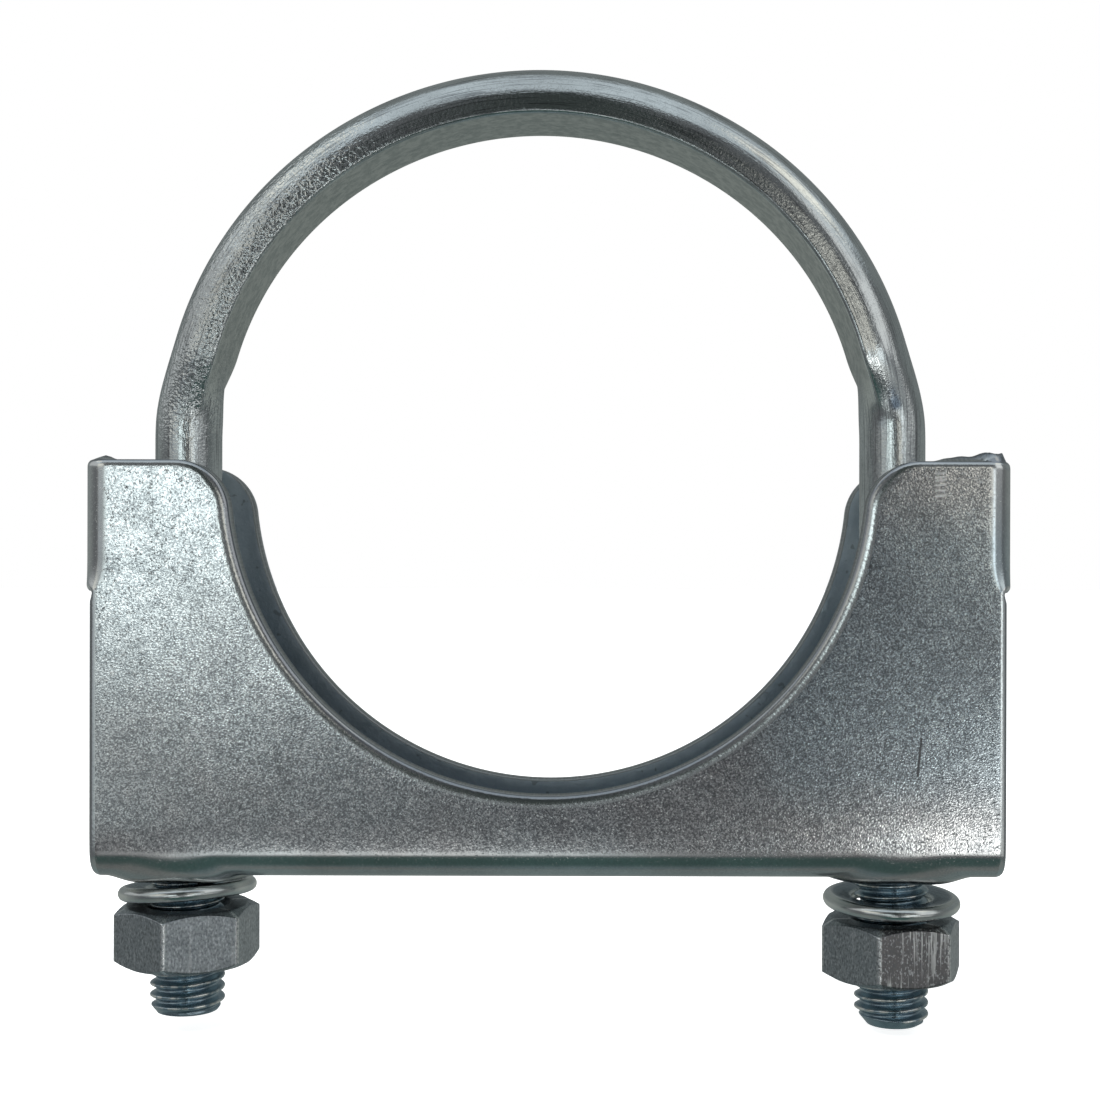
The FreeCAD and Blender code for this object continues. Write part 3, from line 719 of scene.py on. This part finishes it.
def build_nut(side, material):
    # degrees from a flat's middle, closer together near the corner
    within = np.array([-30, -29.3, -28.6, -27.6, -26, -22, -16, -8, 0, 8, 16, 22, 26, 27.6, 28.6, 29.3])
    angles = np.radians(np.concatenate([within + 60 * k for k in range(6)]))
    offsets = np.radians(np.tile(within, 6))
    table = np.array([nut_column(offset) for offset in offsets])
    turn = angles + math.radians(NUT_TURN[side] + 30)
    columns = len(angles)
    x = table[:, :, 0] * np.cos(turn)[:, None]
    y = table[:, :, 0] * np.sin(turn)[:, None]
    points = np.stack([x + LEG_X[side], y, table[:, :, 1] - NUT_DROP[side]], axis=-1)
    rows = points.transpose(1, 0, 2)
    points = rows.reshape(-1, 3)
    faces = torus_faces(len(rows), columns)
    worn = smoothstep(27.6, 29.3, np.degrees(np.abs(offsets)))
    # the face that turns most towards the front is coloured darker and browner
    front = np.floor((np.degrees(angles) + 30.01) / 60) == 4
    values = {"edge": np.tile(worn, len(rows)), "front": np.tile(front, len(rows))}
    return make_piece(f"{side}_nut_hex", points, faces, [material], **values)


# ---- node helpers ----


def add_node(tree, kind, inputs=None, **settings):
    """A node with its settings, and inputs given as sockets to link or values to set."""
    made = tree.nodes.new(kind)
    for key, value in settings.items():
        setattr(made, key, value)
    for key, value in (inputs or {}).items():
        if isinstance(value, bpy.types.NodeSocket):
            tree.links.new(value, made.inputs[key])
        else:
            made.inputs[key].default_value = value
    return made


def calc(tree, operation, first, second=None, third=None):
    inputs = {0: first}
    if second is not None:
        inputs[1] = second
    if third is not None:
        inputs[2] = third
    return add_node(tree, "ShaderNodeMath", inputs, operation=operation).outputs[0]


def ramp(tree, value, low, high, to_low=0.0, to_high=1.0):
    """A smooth step from to_low to to_high as value goes from low to high."""
    inputs = {"Value": value, "From Min": low, "From Max": high, "To Min": to_low, "To Max": to_high}
    return add_node(tree, "ShaderNodeMapRange", inputs, interpolation_type="SMOOTHSTEP").outputs["Result"]


def times(tree, first, second):
    return calc(tree, "MULTIPLY", first, second)


def blend(tree, factor, first, second, mode="MIX"):
    """Mixes two colours; each is a socket or an (r, g, b)."""
    made = add_node(tree, "ShaderNodeMix", data_type="RGBA", blend_type=mode)
    for index, value in ((0, factor), (6, first), (7, second)):
        if isinstance(value, bpy.types.NodeSocket):
            tree.links.new(value, made.inputs[index])
        elif index == 0:
            made.inputs[index].default_value = value
        else:
            made.inputs[index].default_value = (*value, 1.0)
    return made.outputs[2]


def noise_at(tree, place, scale, detail=2.0, roughness=0.5, distortion=0.0):
    inputs = {"Vector": place, "Scale": scale, "Detail": detail}
    inputs.update(Roughness=roughness, Distortion=distortion)
    return add_node(tree, "ShaderNodeTexNoise", inputs).outputs["Fac"]


def vector_math(tree, operation, inputs):
    return add_node(tree, "ShaderNodeVectorMath", inputs, operation=operation).outputs


def squeezed_upright(tree, place, share):
    """Places with their heights scaled, so that noise over them stretches upward."""
    return vector_math(tree, "MULTIPLY", {0: place, 1: (1.0, 1.0, share)})[0]


def value_of(tree, name):
    return add_node(tree, "ShaderNodeAttribute", attribute_name=name).outputs["Fac"]


def scratch(tree, place, mark):
    """A mark's strength on its line and 0 away from it.

    A mark is (start, stop, half width, strength), in millimetres.
    """
    start, stop, width, strength = mark
    start = Vector(start) * MM
    along = Vector(stop) * MM - start
    offset = vector_math(tree, "SUBTRACT", {0: place, 1: start})[0]
    dot = vector_math(tree, "DOT_PRODUCT", {0: offset, 1: along / along.length_squared})["Value"]
    share = add_node(tree, "ShaderNodeClamp", {0: dot}).outputs[0]
    foot = vector_math(tree, "SCALE", {0: along, "Scale": share})[0]
    away = vector_math(tree, "DISTANCE", {0: offset, 1: foot})["Value"]
    return ramp(tree, away, width * MM * 0.3, width * MM, strength, 0.0)


def start_material(name):
    material = bpy.data.materials.new(name)
    material.use_nodes = True
    tree = material.node_tree
    shader = tree.nodes["Principled BSDF"]
    shader.inputs["Metallic"].default_value = 1.0
    place = add_node(tree, "ShaderNodeTexCoord").outputs["Object"]
    return material, tree, shader, place


def finish_material(tree, shader, colour, roughness, normal):
    for name, socket in (("Base Color", colour), ("Roughness", roughness), ("Normal", normal)):
        tree.links.new(socket, shader.inputs[name])


def bumped(tree, height, distance, normal=None):
    """A normal bent by a height from 0 to 1 that stands for a distance in millimetres."""
    inputs = {"Height": height, "Distance": distance * MM, "Strength": 1.0}
    if normal is not None:
        inputs["Normal"] = normal
    return add_node(tree, "ShaderNodeBump", inputs).outputs["Normal"]


# ---- materials ----

BRIGHT_ZINC = (0.80, 0.83, 0.83)
GREY_ZINC = (0.56, 0.59, 0.60)
BROWN_ZINC = (0.62, 0.585, 0.57)
DARK_ZINC = (0.16, 0.17, 0.18)
SCUFFED_ZINC = (1.0, 1.0, 1.0)
# dark navy for the patch on the bow's right shoulder: a painted reflection
NAVY_PAINTED_REFLECTION = (0.06, 0.09, 0.13)


def crackle(tree, place, scale, width):
    """Thin wandering lines: 1 on a line, 0 between them."""
    value = noise_at(tree, place, scale, 2.0, 0.6, 0.6)
    off = calc(tree, "ABSOLUTE", calc(tree, "SUBTRACT", value, 0.5))
    return ramp(tree, off, 0.0, width, 1.0, 0.0)


def sheet_tint(tree, place, blotches):
    """The zinc's slow colour changes: browner low down and in patches, slate on the right."""
    patches = noise_at(tree, place, 55.0, 3.0)
    x, y, z = add_node(tree, "ShaderNodeSeparateXYZ", {0: place}).outputs
    handled = calc(tree, "MULTIPLY_ADD", ramp(tree, z, -0.026, -0.042), 0.55, 0.35)
    brown = times(tree, ramp(tree, patches, 0.3, 0.75), handled)
    colour = blend(tree, brown, BRIGHT_ZINC, BROWN_ZINC)
    colour = blend(tree, ramp(tree, blotches, 0.3, 0.7, 0.0, 0.34), colour, GREY_ZINC)
    right = times(tree, ramp(tree, x, 0.016, 0.036), ramp(tree, z, 0.0, -0.010))
    right = times(tree, right, ramp(tree, z, -0.046, -0.038))
    slate = blend(tree, right, (1.0, 1.0, 1.0), (0.82, 0.89, 0.93))
    return blend(tree, 1.0, colour, slate, "MULTIPLY")


def sheet_flecks(tree, place):
    """Fine grain over a slower mottle, with stray glints: a colour to multiply by."""
    salt = ramp(tree, noise_at(tree, place, 3900.0, 2.0, 0.65), 0.38, 0.62)
    mottle = ramp(tree, noise_at(tree, place, 1000.0, 3.0, 0.7, 0.8), 0.35, 0.65)
    glint = ramp(tree, noise_at(tree, place, 2100.0, 1.0, 0.5, 2.5), 0.66, 0.74)
    grain = blend(tree, salt, (0.58, 0.59, 0.61), (1.34, 1.34, 1.34))
    grain = blend(tree, glint, grain, (1.50, 1.50, 1.50))
    mottled = blend(tree, mottle, (0.90, 0.90, 0.91), (1.10, 1.10, 1.10))
    return blend(tree, 1.0, grain, mottled, "MULTIPLY")


def rolled_zinc(name, marks, scuffs):
    """The sheet's outer face: pebbled where the sheet is flat, polished where it was bent."""
    material, tree, shader, place = start_material(name)
    formed = value_of(tree, "formed")
    grained = ramp(tree, formed, 0.0, 0.8, 1.0, 0.12)
    blotches = noise_at(tree, place, 340.0, 3.0, 0.6)
    pebble = noise_at(tree, place, 4400.0, 1.0, 0.6)
    pits = ramp(tree, noise_at(tree, place, 3400.0, 1.0), 0.64, 0.74)

    colour = sheet_tint(tree, place, blotches)
    flecked = blend(tree, 1.0, colour, sheet_flecks(tree, place), "MULTIPLY")
    colour = blend(tree, grained, colour, flecked)
    lined = times(tree, grained, ramp(tree, blotches, 0.40, 0.60, 0.15, 0.75))
    lines = times(tree, crackle(tree, place, 1250.0, 0.040), lined)
    colour = blend(tree, lines, colour, DARK_ZINC)
    for mark in marks:
        colour = blend(tree, scratch(tree, place, mark), colour, DARK_ZINC)

    roughness = ramp(tree, blotches, 0.3, 0.7, 0.14, 0.18)
    roughness = calc(tree, "MULTIPLY_ADD", formed, 0.02, roughness)
    for mark in scuffs:
        line = scratch(tree, place, mark)
        colour = blend(tree, line, colour, SCUFFED_ZINC)
        roughness = calc(tree, "MULTIPLY_ADD", line, 0.3, roughness)

    height = calc(tree, "MULTIPLY_ADD", pits, 3.6, times(tree, pebble, 0.75))
    normal = bumped(tree, times(tree, height, grained), 0.018)
    normal = bumped(tree, noise_at(tree, place, 420.0, 1.0), 0.010, normal)
    finish_material(tree, shader, colour, roughness, normal)
    return material


def inner_painted_shade_zinc(name):
    """Inner faces: evenly dull, with a few dark specks, and painted darker and bluer than the outer face as
    painted shade.
    """
    material, tree, shader, place = start_material(name)
    patches = noise_at(tree, place, 260.0, 4.0, 0.65)
    # a darker, bluer colour than the outer face: painted shade for the faces inside the pressing
    colour = blend(tree, ramp(tree, patches, 0.3, 0.7), (0.54, 0.61, 0.66), (0.43, 0.50, 0.56))
    speck = ramp(tree, noise_at(tree, place, 900.0, 1.0), 0.66, 0.74)
    colour = blend(tree, times(tree, speck, 0.5), colour, DARK_ZINC)
    roughness = ramp(tree, patches, 0.3, 0.7, 0.34, 0.46)
    finish_material(tree, shader, colour, roughness, bumped(tree, noise_at(tree, place, 2400.0, 2.0), 0.03))
    return material


def sheared_zinc(name):
    """The sheet's cut edge: a smooth die roll, then a wall with fine streaks through the thickness."""
    material, tree, shader, place = start_material(name)
    depth = value_of(tree, "depth")
    wall = ramp(tree, depth, ROLL_DEPTH, ROLL_DEPTH + 0.3)
    inputs = {"W": value_of(tree, "around"), "Scale": 3.2, "Detail": 3.0}
    streak = add_node(tree, "ShaderNodeTexNoise", inputs, noise_dimensions="1D").outputs["Fac"]
    colour = blend(tree, ramp(tree, streak, 0.35, 0.65, 0.0, 0.7), (0.60, 0.62, 0.62), (0.38, 0.40, 0.41))
    torn = ramp(tree, calc(tree, "MULTIPLY_ADD", streak, 1.2, depth), 2.6, 3.1)
    colour = blend(tree, times(tree, torn, 0.6), colour, (0.30, 0.32, 0.33))
    # bright at the roll's outer edge and dark slate a little way down it: painted highlight and shade across
    # the roll's curve
    rolled = blend(tree, ramp(tree, depth, 0.02, 0.30), BRIGHT_ZINC, (0.36, 0.38, 0.41))
    colour = blend(tree, wall, rolled, colour)
    # a painted highlight line where the roll meets the wall, and a dull slate on the torn lips
    off_line = calc(tree, "ABSOLUTE", calc(tree, "SUBTRACT", depth, ROLL_DEPTH + 0.28))
    colour = blend(tree, ramp(tree, off_line, 0.05, 0.22, 1.0, 0.0), colour, BRIGHT_ZINC)
    colour = blend(tree, times(tree, value_of(tree, "lifted"), 0.85), colour, (0.26, 0.29, 0.33))
    roughness = calc(tree, "MULTIPLY_ADD", wall, 0.12, 0.18)
    grain = times(tree, noise_at(tree, place, 2200.0, 2.0), 0.4)
    height = calc(tree, "MULTIPLY_ADD", streak, times(tree, wall, 1.2), grain)
    finish_material(tree, shader, colour, roughness, bumped(tree, height, 0.05))
    return material


def bar_zinc(name, painted_reflection_mark):
    """The U-bolt's bar: die marks along it, pits on the left shoulder, a dull mottled flat, and a painted
    dark reflection on the right shoulder.
    """
    material, tree, shader, place = start_material(name)
    pressed = value_of(tree, "pressed")
    lengthwise = {0: value_of(tree, "across"), 1: times(tree, value_of(tree, "along"), 0.03)}
    bar_place = add_node(tree, "ShaderNodeCombineXYZ", lengthwise).outputs[0]
    die_marks = noise_at(tree, bar_place, 3.2, 3.0, 0.6)
    patches = noise_at(tree, place, 90.0, 3.0)
    pebble = noise_at(tree, place, 2600.0, 2.0, 0.6)
    mottle = noise_at(tree, place, 800.0, 3.0, 0.65)

    colour = blend(tree, ramp(tree, patches, 0.3, 0.7), (0.76, 0.80, 0.80), (0.60, 0.63, 0.63))
    colour = blend(tree, ramp(tree, die_marks, 0.50, 0.66, 0.0, 0.6), colour, DARK_ZINC)
    colour = blend(tree, times(tree, crackle(tree, place, 1600.0, 0.03), 0.35), colour, DARK_ZINC)
    dull = blend(tree, ramp(tree, mottle, 0.35, 0.65), (0.56, 0.59, 0.57), (0.38, 0.42, 0.41))
    colour = blend(tree, pressed, colour, dull)
    # a mottled dark navy patch on the right shoulder's front: painted dark reflection
    painted_reflection_amount = times(tree, scratch(tree, place, painted_reflection_mark), ramp(tree, mottle, 0.25, 0.5, 0.5, 1.0))
    colour = blend(tree, painted_reflection_amount, colour, NAVY_PAINTED_REFLECTION)

    x, y, z = add_node(tree, "ShaderNodeSeparateXYZ", {0: place}).outputs
    pitted = times(tree, ramp(tree, x, -0.018, -0.036), ramp(tree, z, 0.002, 0.012))
    pits = ramp(tree, noise_at(tree, place, 1300.0, 2.0, 0.6), 0.35, 0.62)
    height = calc(tree, "MULTIPLY_ADD", pits, times(tree, pitted, 1.5), times(tree, pebble, 0.75))
    height = calc(tree, "MULTIPLY_ADD", die_marks, 0.55, height)
    roughness = ramp(tree, pressed, 0.0, 1.0, 0.17, 0.40)
    finish_material(tree, shader, colour, roughness, bumped(tree, height, 0.035))
    return material


def thread_zinc(name):
    """The threads: dark blue-grey flanks, which are a painted dark reflection, and bright crests, partly
    worn plating and partly painted highlight.
    """
    material, tree, shader, place = start_material(name)
    patches = noise_at(tree, place, 500.0, 3.0)
    # dark blue-grey flanks: painted reflection of the shaded saddle above them
    colour = blend(tree, ramp(tree, patches, 0.3, 0.7), (0.40, 0.50, 0.56), (0.29, 0.38, 0.44))
    worn = ramp(tree, noise_at(tree, place, 900.0, 2.0), 0.40, 0.60)
    # bright crests: partly plating worn off, partly painted highlight
    colour = blend(tree, times(tree, value_of(tree, "crest"), worn), colour, (0.88, 0.89, 0.86))
    roughness = ramp(tree, patches, 0.3, 0.7, 0.20, 0.30)
    finish_material(tree, shader, colour, roughness, bumped(tree, noise_at(tree, place, 2400.0, 2.0), 0.02))
    return material


def washer_zinc(name):
    """A smooth bright rim and a darker serrated face."""
    material, tree, shader, place = start_material(name)
    patches = noise_at(tree, place, 300.0, 3.0)
    colour = blend(tree, ramp(tree, patches, 0.3, 0.7), (0.78, 0.80, 0.78), (0.62, 0.66, 0.66))
    colour = blend(tree, times(tree, value_of(tree, "serrated"), 0.85), colour, (0.20, 0.25, 0.30))
    roughness = ramp(tree, patches, 0.3, 0.7, 0.17, 0.24)
    finish_material(tree, shader, colour, roughness, bumped(tree, noise_at(tree, place, 900.0, 2.0), 0.025))
    return material


def nut_zinc(name, front_marking):
    """Duller plating on the nuts, with worn bright corners; the face that turns most to the front is darker
    and browner, with upright streaks.
    """
    material, tree, shader, place = start_material(name)
    front = value_of(tree, "front")
    blotches = noise_at(tree, place, 420.0, 4.0, 0.65)
    fine = noise_at(tree, place, 3000.0, 2.0, 0.6)
    speck = noise_at(tree, squeezed_upright(tree, place, 0.6), 4200.0, 1.0)
    upright = noise_at(tree, squeezed_upright(tree, place, 0.05), 2600.0, 2.0, 0.6)
    region = noise_at(tree, squeezed_upright(tree, place, 0.5), 260.0, 1.0)

    colour = blend(tree, ramp(tree, blotches, 0.3, 0.7, 0.2, 0.8), (0.47, 0.51, 0.54), (0.37, 0.41, 0.44))
    # the front face is made darker and browner, more so on the right nut
    browned = calc(tree, "MULTIPLY_ADD", front, front_marking * 0.95, front_marking * 0.05)
    colour = blend(tree, browned, colour, (0.18, 0.165, 0.165))
    colour = blend(tree, ramp(tree, speck, 0.50, 0.34, 0.0, 0.55), colour, DARK_ZINC)
    colour = blend(tree, ramp(tree, speck, 0.56, 0.70, 0.0, 0.50), colour, (0.80, 0.84, 0.86))
    streak = times(tree, ramp(tree, upright, 0.56, 0.63), ramp(tree, region, 0.35, 0.55))
    streaked = times(tree, streak, calc(tree, "MULTIPLY_ADD", front, 0.8 * front_marking, 0.1))
    colour = blend(tree, streaked, colour, (0.84, 0.85, 0.84))
    worn = times(tree, value_of(tree, "edge"), ramp(tree, fine, 0.40, 0.50))
    colour = blend(tree, worn, colour, (0.88, 0.90, 0.90))

    roughness = ramp(tree, blotches, 0.3, 0.7, 0.38, 0.46)
    roughness = calc(tree, "MULTIPLY_ADD", worn, -0.18, roughness)
    height = calc(tree, "MULTIPLY_ADD", upright, front_marking, fine)
    finish_material(tree, shader, colour, roughness, bumped(tree, height, 0.035))
    return material


# ---- stage, light and camera ----

CAMERA_PLACE = (5.5, -228.9, -11.55)
CAMERA_ROLL = 0.14
LIGHT_PLACE = (-150, -250, 500)
LIGHT_TARGET = (0, 0, -20)
LIGHT_SIZE = 500
FLOOR_GAP = 1.15
FLOOR_REACH = 4000.0


def build_camera():
    """A 55.6 mm lens, square to the clamp and level with the upper part of the saddle."""
    data = bpy.data.cameras.new("camera")
    data.sensor_width = 36.0
    data.lens = 55.57
    data.shift_x = -0.0364
    data.shift_y = 0.0136
    data.clip_start = 0.01
    data.clip_end = 50.0
    camera = bpy.data.objects.new("camera", data)
    camera.location = Vector(CAMERA_PLACE) * MM
    level = Matrix.Rotation(math.radians(90), 3, "X")
    roll = Matrix.Rotation(math.radians(CAMERA_ROLL), 3, "Z")
    camera.rotation_euler = (level @ roll).to_euler()
    bpy.context.scene.collection.objects.link(camera)
    bpy.context.scene.camera = camera


# the room's panels, each laid over the ones before it, with angles in degrees. Azimuth is measured from the
# photographer's side, positive to their right.
PANELS = [
    # azimuth, elevation, half width, half height, edge softness, colour, strength
    (-85.0, 26.0, 35.0, 18.0, 5.0, (0.97, 0.99, 1.0), 0.50),
    (-42.0, 17.0, 14.0, 12.0, 4.0, (1.0, 0.99, 0.92), 0.75),
    (-38.0, -2.0, 15.0, 8.0, 4.0, (0.88, 0.95, 1.0), 0.42),
    (-15.5, 2.6, 8.5, 5.0, 2.0, (0.90, 1.0, 1.0), 1.85),
    (-23.0, -4.0, 7.0, 6.0, 3.0, (0.92, 1.0, 1.0), 0.5),
    (52.0, 26.0, 22.0, 20.0, 4.0, (0.97, 0.98, 0.98), 0.8),
    (50.0, -2.0, 18.0, 8.0, 4.0, (0.92, 0.97, 1.0), 0.30),
    (28.5, -1.0, 5.5, 8.0, 2.0, (0.92, 0.98, 1.0), 1.5),
    (18.0, 9.0, 4.5, 8.0, 2.0, (1.0, 0.97, 0.88), 1.1),
    (29.0, 25.0, 8.0, 18.0, 3.0, (0.9, 0.95, 1.0), 0.12),
    (44.0, -14.5, 19.0, 6.5, 3.0, (0.98, 1.0, 0.98), 0.50),
    (16.2, -13.4, 3.8, 5.0, 2.5, (0.98, 1.0, 0.98), 3.35),
    (-7.0, -21.0, 8.0, 5.5, 3.0, (0.95, 1.0, 1.0), 0.85),
    (0.0, 26.0, 9.0, 19.0, 3.0, (0.8, 1.0, 0.95), 0.04),
]
CEILING = (0.58, 0.64, 0.68)
CEILING_LAMPS = [
    # place across, place back, radius, colour, strength
    (-0.90, -0.15, 0.34, (1.0, 0.98, 0.90), 1.0),
    (0.85, -0.30, 0.34, (1.0, 0.97, 0.88), 1.2),
]


def dim_room(tree, azimuth, elevation):
    """The room without its panels: slate in front, dark green low down, and grey behind the clamp."""
    sideways = calc(tree, "ABSOLUTE", azimuth)
    front = blend(tree, ramp(tree, elevation, -26.0, -34.0), (0.114, 0.118, 0.124), (0.050, 0.088, 0.083))
    front = blend(tree, ramp(tree, elevation, -58.0, -78.0), front, (0.120, 0.160, 0.168))
    low_side = times(tree, ramp(tree, sideways, 22.0, 40.0), ramp(tree, elevation, -26.0, -40.0))
    front = blend(tree, low_side, front, (0.170, 0.185, 0.180))
    back = blend(tree, ramp(tree, elevation, -10.0, -60.0), (0.310, 0.330, 0.315), (0.160, 0.200, 0.200))
    back = blend(tree, ramp(tree, elevation, -6.0, 6.0), back, (0.200, 0.220, 0.220))
    return blend(tree, ramp(tree, sideways, 62.0, 120.0), front, back)


def with_panels(tree, azimuth, elevation, colour):
    for centre, height, across, up, soft, tint, strength in PANELS:
        off = calc(tree, "ABSOLUTE", calc(tree, "SUBTRACT", azimuth, centre))
        over = calc(tree, "ABSOLUTE", calc(tree, "SUBTRACT", elevation, height))
        in_width = ramp(tree, off, across - soft, across + soft, 1.0, 0.0)
        in_height = ramp(tree, over, up - soft, up + soft, 1.0, 0.0)
        amount = times(tree, in_width, in_height)
        colour = blend(tree, amount, colour, tuple(c * strength for c in tint))
    return colour


def with_ceiling(tree, x, y, z, colour):
    """A plane overhead with two round lamps: u and v say where on it a direction points."""
    above = ramp(tree, z, 0.2, 0.3)
    u = calc(tree, "DIVIDE", x, calc(tree, "MAXIMUM", z, 0.05))
    v = calc(tree, "DIVIDE", y, calc(tree, "MAXIMUM", z, 0.05))
    plane = times(tree, ramp(tree, calc(tree, "ABSOLUTE", u), 1.2, 1.6, 1.0, 0.0), above)
    plane = times(tree, plane, ramp(tree, v, -0.98, -0.82))
    plane = times(tree, plane, ramp(tree, v, 0.2, 0.4, 1.0, 0.0))
    colour = blend(tree, plane, colour, CEILING)
    for centre_u, centre_v, radius, tint, strength in CEILING_LAMPS:
        off_u = calc(tree, "SUBTRACT", u, centre_u)
        off_v = calc(tree, "SUBTRACT", v, centre_v)
        away = calc(tree, "SQRT", calc(tree, "MULTIPLY_ADD", off_u, off_u, times(tree, off_v, off_v)))
        amount = times(tree, ramp(tree, away, radius * 0.7, radius * 1.1, 1.0, 0.0), above)
        colour = blend(tree, amount, colour, tuple(c * strength for c in tint))
    return colour


def build_room():
    """The world: what the plated surfaces reflect. The camera itself sees plain white behind the clamp."""
    world = bpy.data.worlds.new("studio")
    bpy.context.scene.world = world
    world.use_nodes = True
    tree = world.node_tree
    direction = add_node(tree, "ShaderNodeTexCoord").outputs["Generated"]
    x, y, z = add_node(tree, "ShaderNodeSeparateXYZ", {0: direction}).outputs
    to_degrees = 180 / math.pi
    azimuth = times(tree, calc(tree, "ARCTAN2", x, times(tree, y, -1.0)), to_degrees)
    elevation = times(tree, calc(tree, "ARCSINE", z), to_degrees)
    colour = dim_room(tree, azimuth, elevation)
    colour = with_panels(tree, azimuth, elevation, colour)
    colour = with_ceiling(tree, x, y, z, colour)
    shown = add_node(tree, "ShaderNodeLightPath").outputs["Is Camera Ray"]
    colour = blend(tree, shown, colour, (1.0, 1.0, 1.0))
    background = tree.nodes["Background"]
    tree.links.new(colour, background.inputs["Color"])
    background.inputs["Strength"].default_value = 1.0


def build_light():
    """One wide soft light from above the photographer, left out of reflections."""
    data = bpy.data.lights.new("soft_top", "AREA")
    data.shape = "RECTANGLE"
    data.size = LIGHT_SIZE * MM
    data.size_y = LIGHT_SIZE * MM
    data.energy = 4.0
    light = bpy.data.objects.new("soft_top", data)
    light.location = Vector(LIGHT_PLACE) * MM
    toward = Vector(LIGHT_TARGET) - Vector(LIGHT_PLACE)
    light.rotation_euler = toward.to_track_quat("-Z", "Y").to_euler()
    light.visible_glossy = False
    bpy.context.scene.collection.objects.link(light)


def build_floor():
    """A wide pale floor just below the studs. It is left out of reflections, as in a cut-out photograph."""
    material = bpy.data.materials.new("pale_floor")
    material.use_nodes = True
    tree = material.node_tree
    shader = tree.nodes["Principled BSDF"]
    place = add_node(tree, "ShaderNodeTexCoord").outputs["Object"]
    tone = ramp(tree, noise_at(tree, place, 40.0, 3.0), 0.3, 0.7)
    tree.links.new(blend(tree, tone, (0.90, 0.90, 0.90), (0.93, 0.93, 0.93)), shader.inputs["Base Color"])
    shader.inputs["Roughness"].default_value = 0.8
    shader.inputs["Emission Color"].default_value = (1.0, 1.0, 1.0, 1.0)
    shader.inputs["Emission Strength"].default_value = 0.85
    z = BOLT_LOW.z - FLOOR_GAP
    corners = [(-1, -1), (1, -1), (1, 1), (-1, 1)]
    points = [(x * FLOOR_REACH, y * FLOOR_REACH, z) for x, y in corners]
    floor = make_piece("floor", points, [(0, 1, 2, 3)], [material])
    floor.visible_glossy = False


# ---- the whole scene ----

# marks on the front flange, and a dark navy painted reflection on the bow's right shoulder: start, stop,
# half width in mm, strength
FRONT = -HALF_WIDTH
FRONT_MARKS = [
    ((-50.9, FRONT, 1.0), (-50.8, FRONT, -6.8), 0.10, 0.55),
    ((-53.4, FRONT, 0.5), (-53.2, FRONT, -4.0), 0.12, 0.35),
    ((48.2, FRONT, -33.8), (47.7, FRONT, -38.6), 0.22, 1.0),
    ((33.2, FRONT, -29.4), (36.6, FRONT, -32.8), 0.12, 0.40),
]
SCUFF_HEIGHTS = (0.3, -0.2, -0.6, -1.2, -1.9, -2.6)
FRONT_SCUFFS = [((50.0, FRONT, z), (51.2, FRONT, z + 0.1), 0.20, 0.6) for z in SCUFF_HEIGHTS]
# the right shoulder's dark patch: painted reflection
SHOULDER_PAINTED_REFLECTION = ((44.2, -4.4, 15.6), (45.8, -4.4, 9.8), 1.25, 0.9)

outer = rolled_zinc("saddle_outer_zinc", FRONT_MARKS, FRONT_SCUFFS)
inner = inner_painted_shade_zinc("saddle_inner_painted_shade_zinc")
cut = sheared_zinc("saddle_cut_zinc")
bar = bar_zinc("bar_zinc", SHOULDER_PAINTED_REFLECTION)
thread = thread_zinc("thread_zinc")
washer = washer_zinc("washer_zinc")
nut_material = {"left": nut_zinc("left_nut_zinc", 0.15), "right": nut_zinc("right_nut_zinc", 0.9)}

saddle = build_saddle([outer, inner, cut])
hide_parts("saddle")
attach(saddle, "saddle")

u_bolt = build_u_bolt([bar, thread])
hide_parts("u_bolt")
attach(u_bolt, "u_bolt")

for side in ("left", "right"):
    ring = build_washer(side, washer)
    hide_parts(f"{side}_washer")
    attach(ring, f"{side}_washer")
    nut = build_nut(side, nut_material[side])
    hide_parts(f"{side}_nut")
    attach(nut, f"{side}_nut")

build_floor()
build_room()
build_camera()
build_light()
bpy.context.scene.view_settings.view_transform = "Standard"
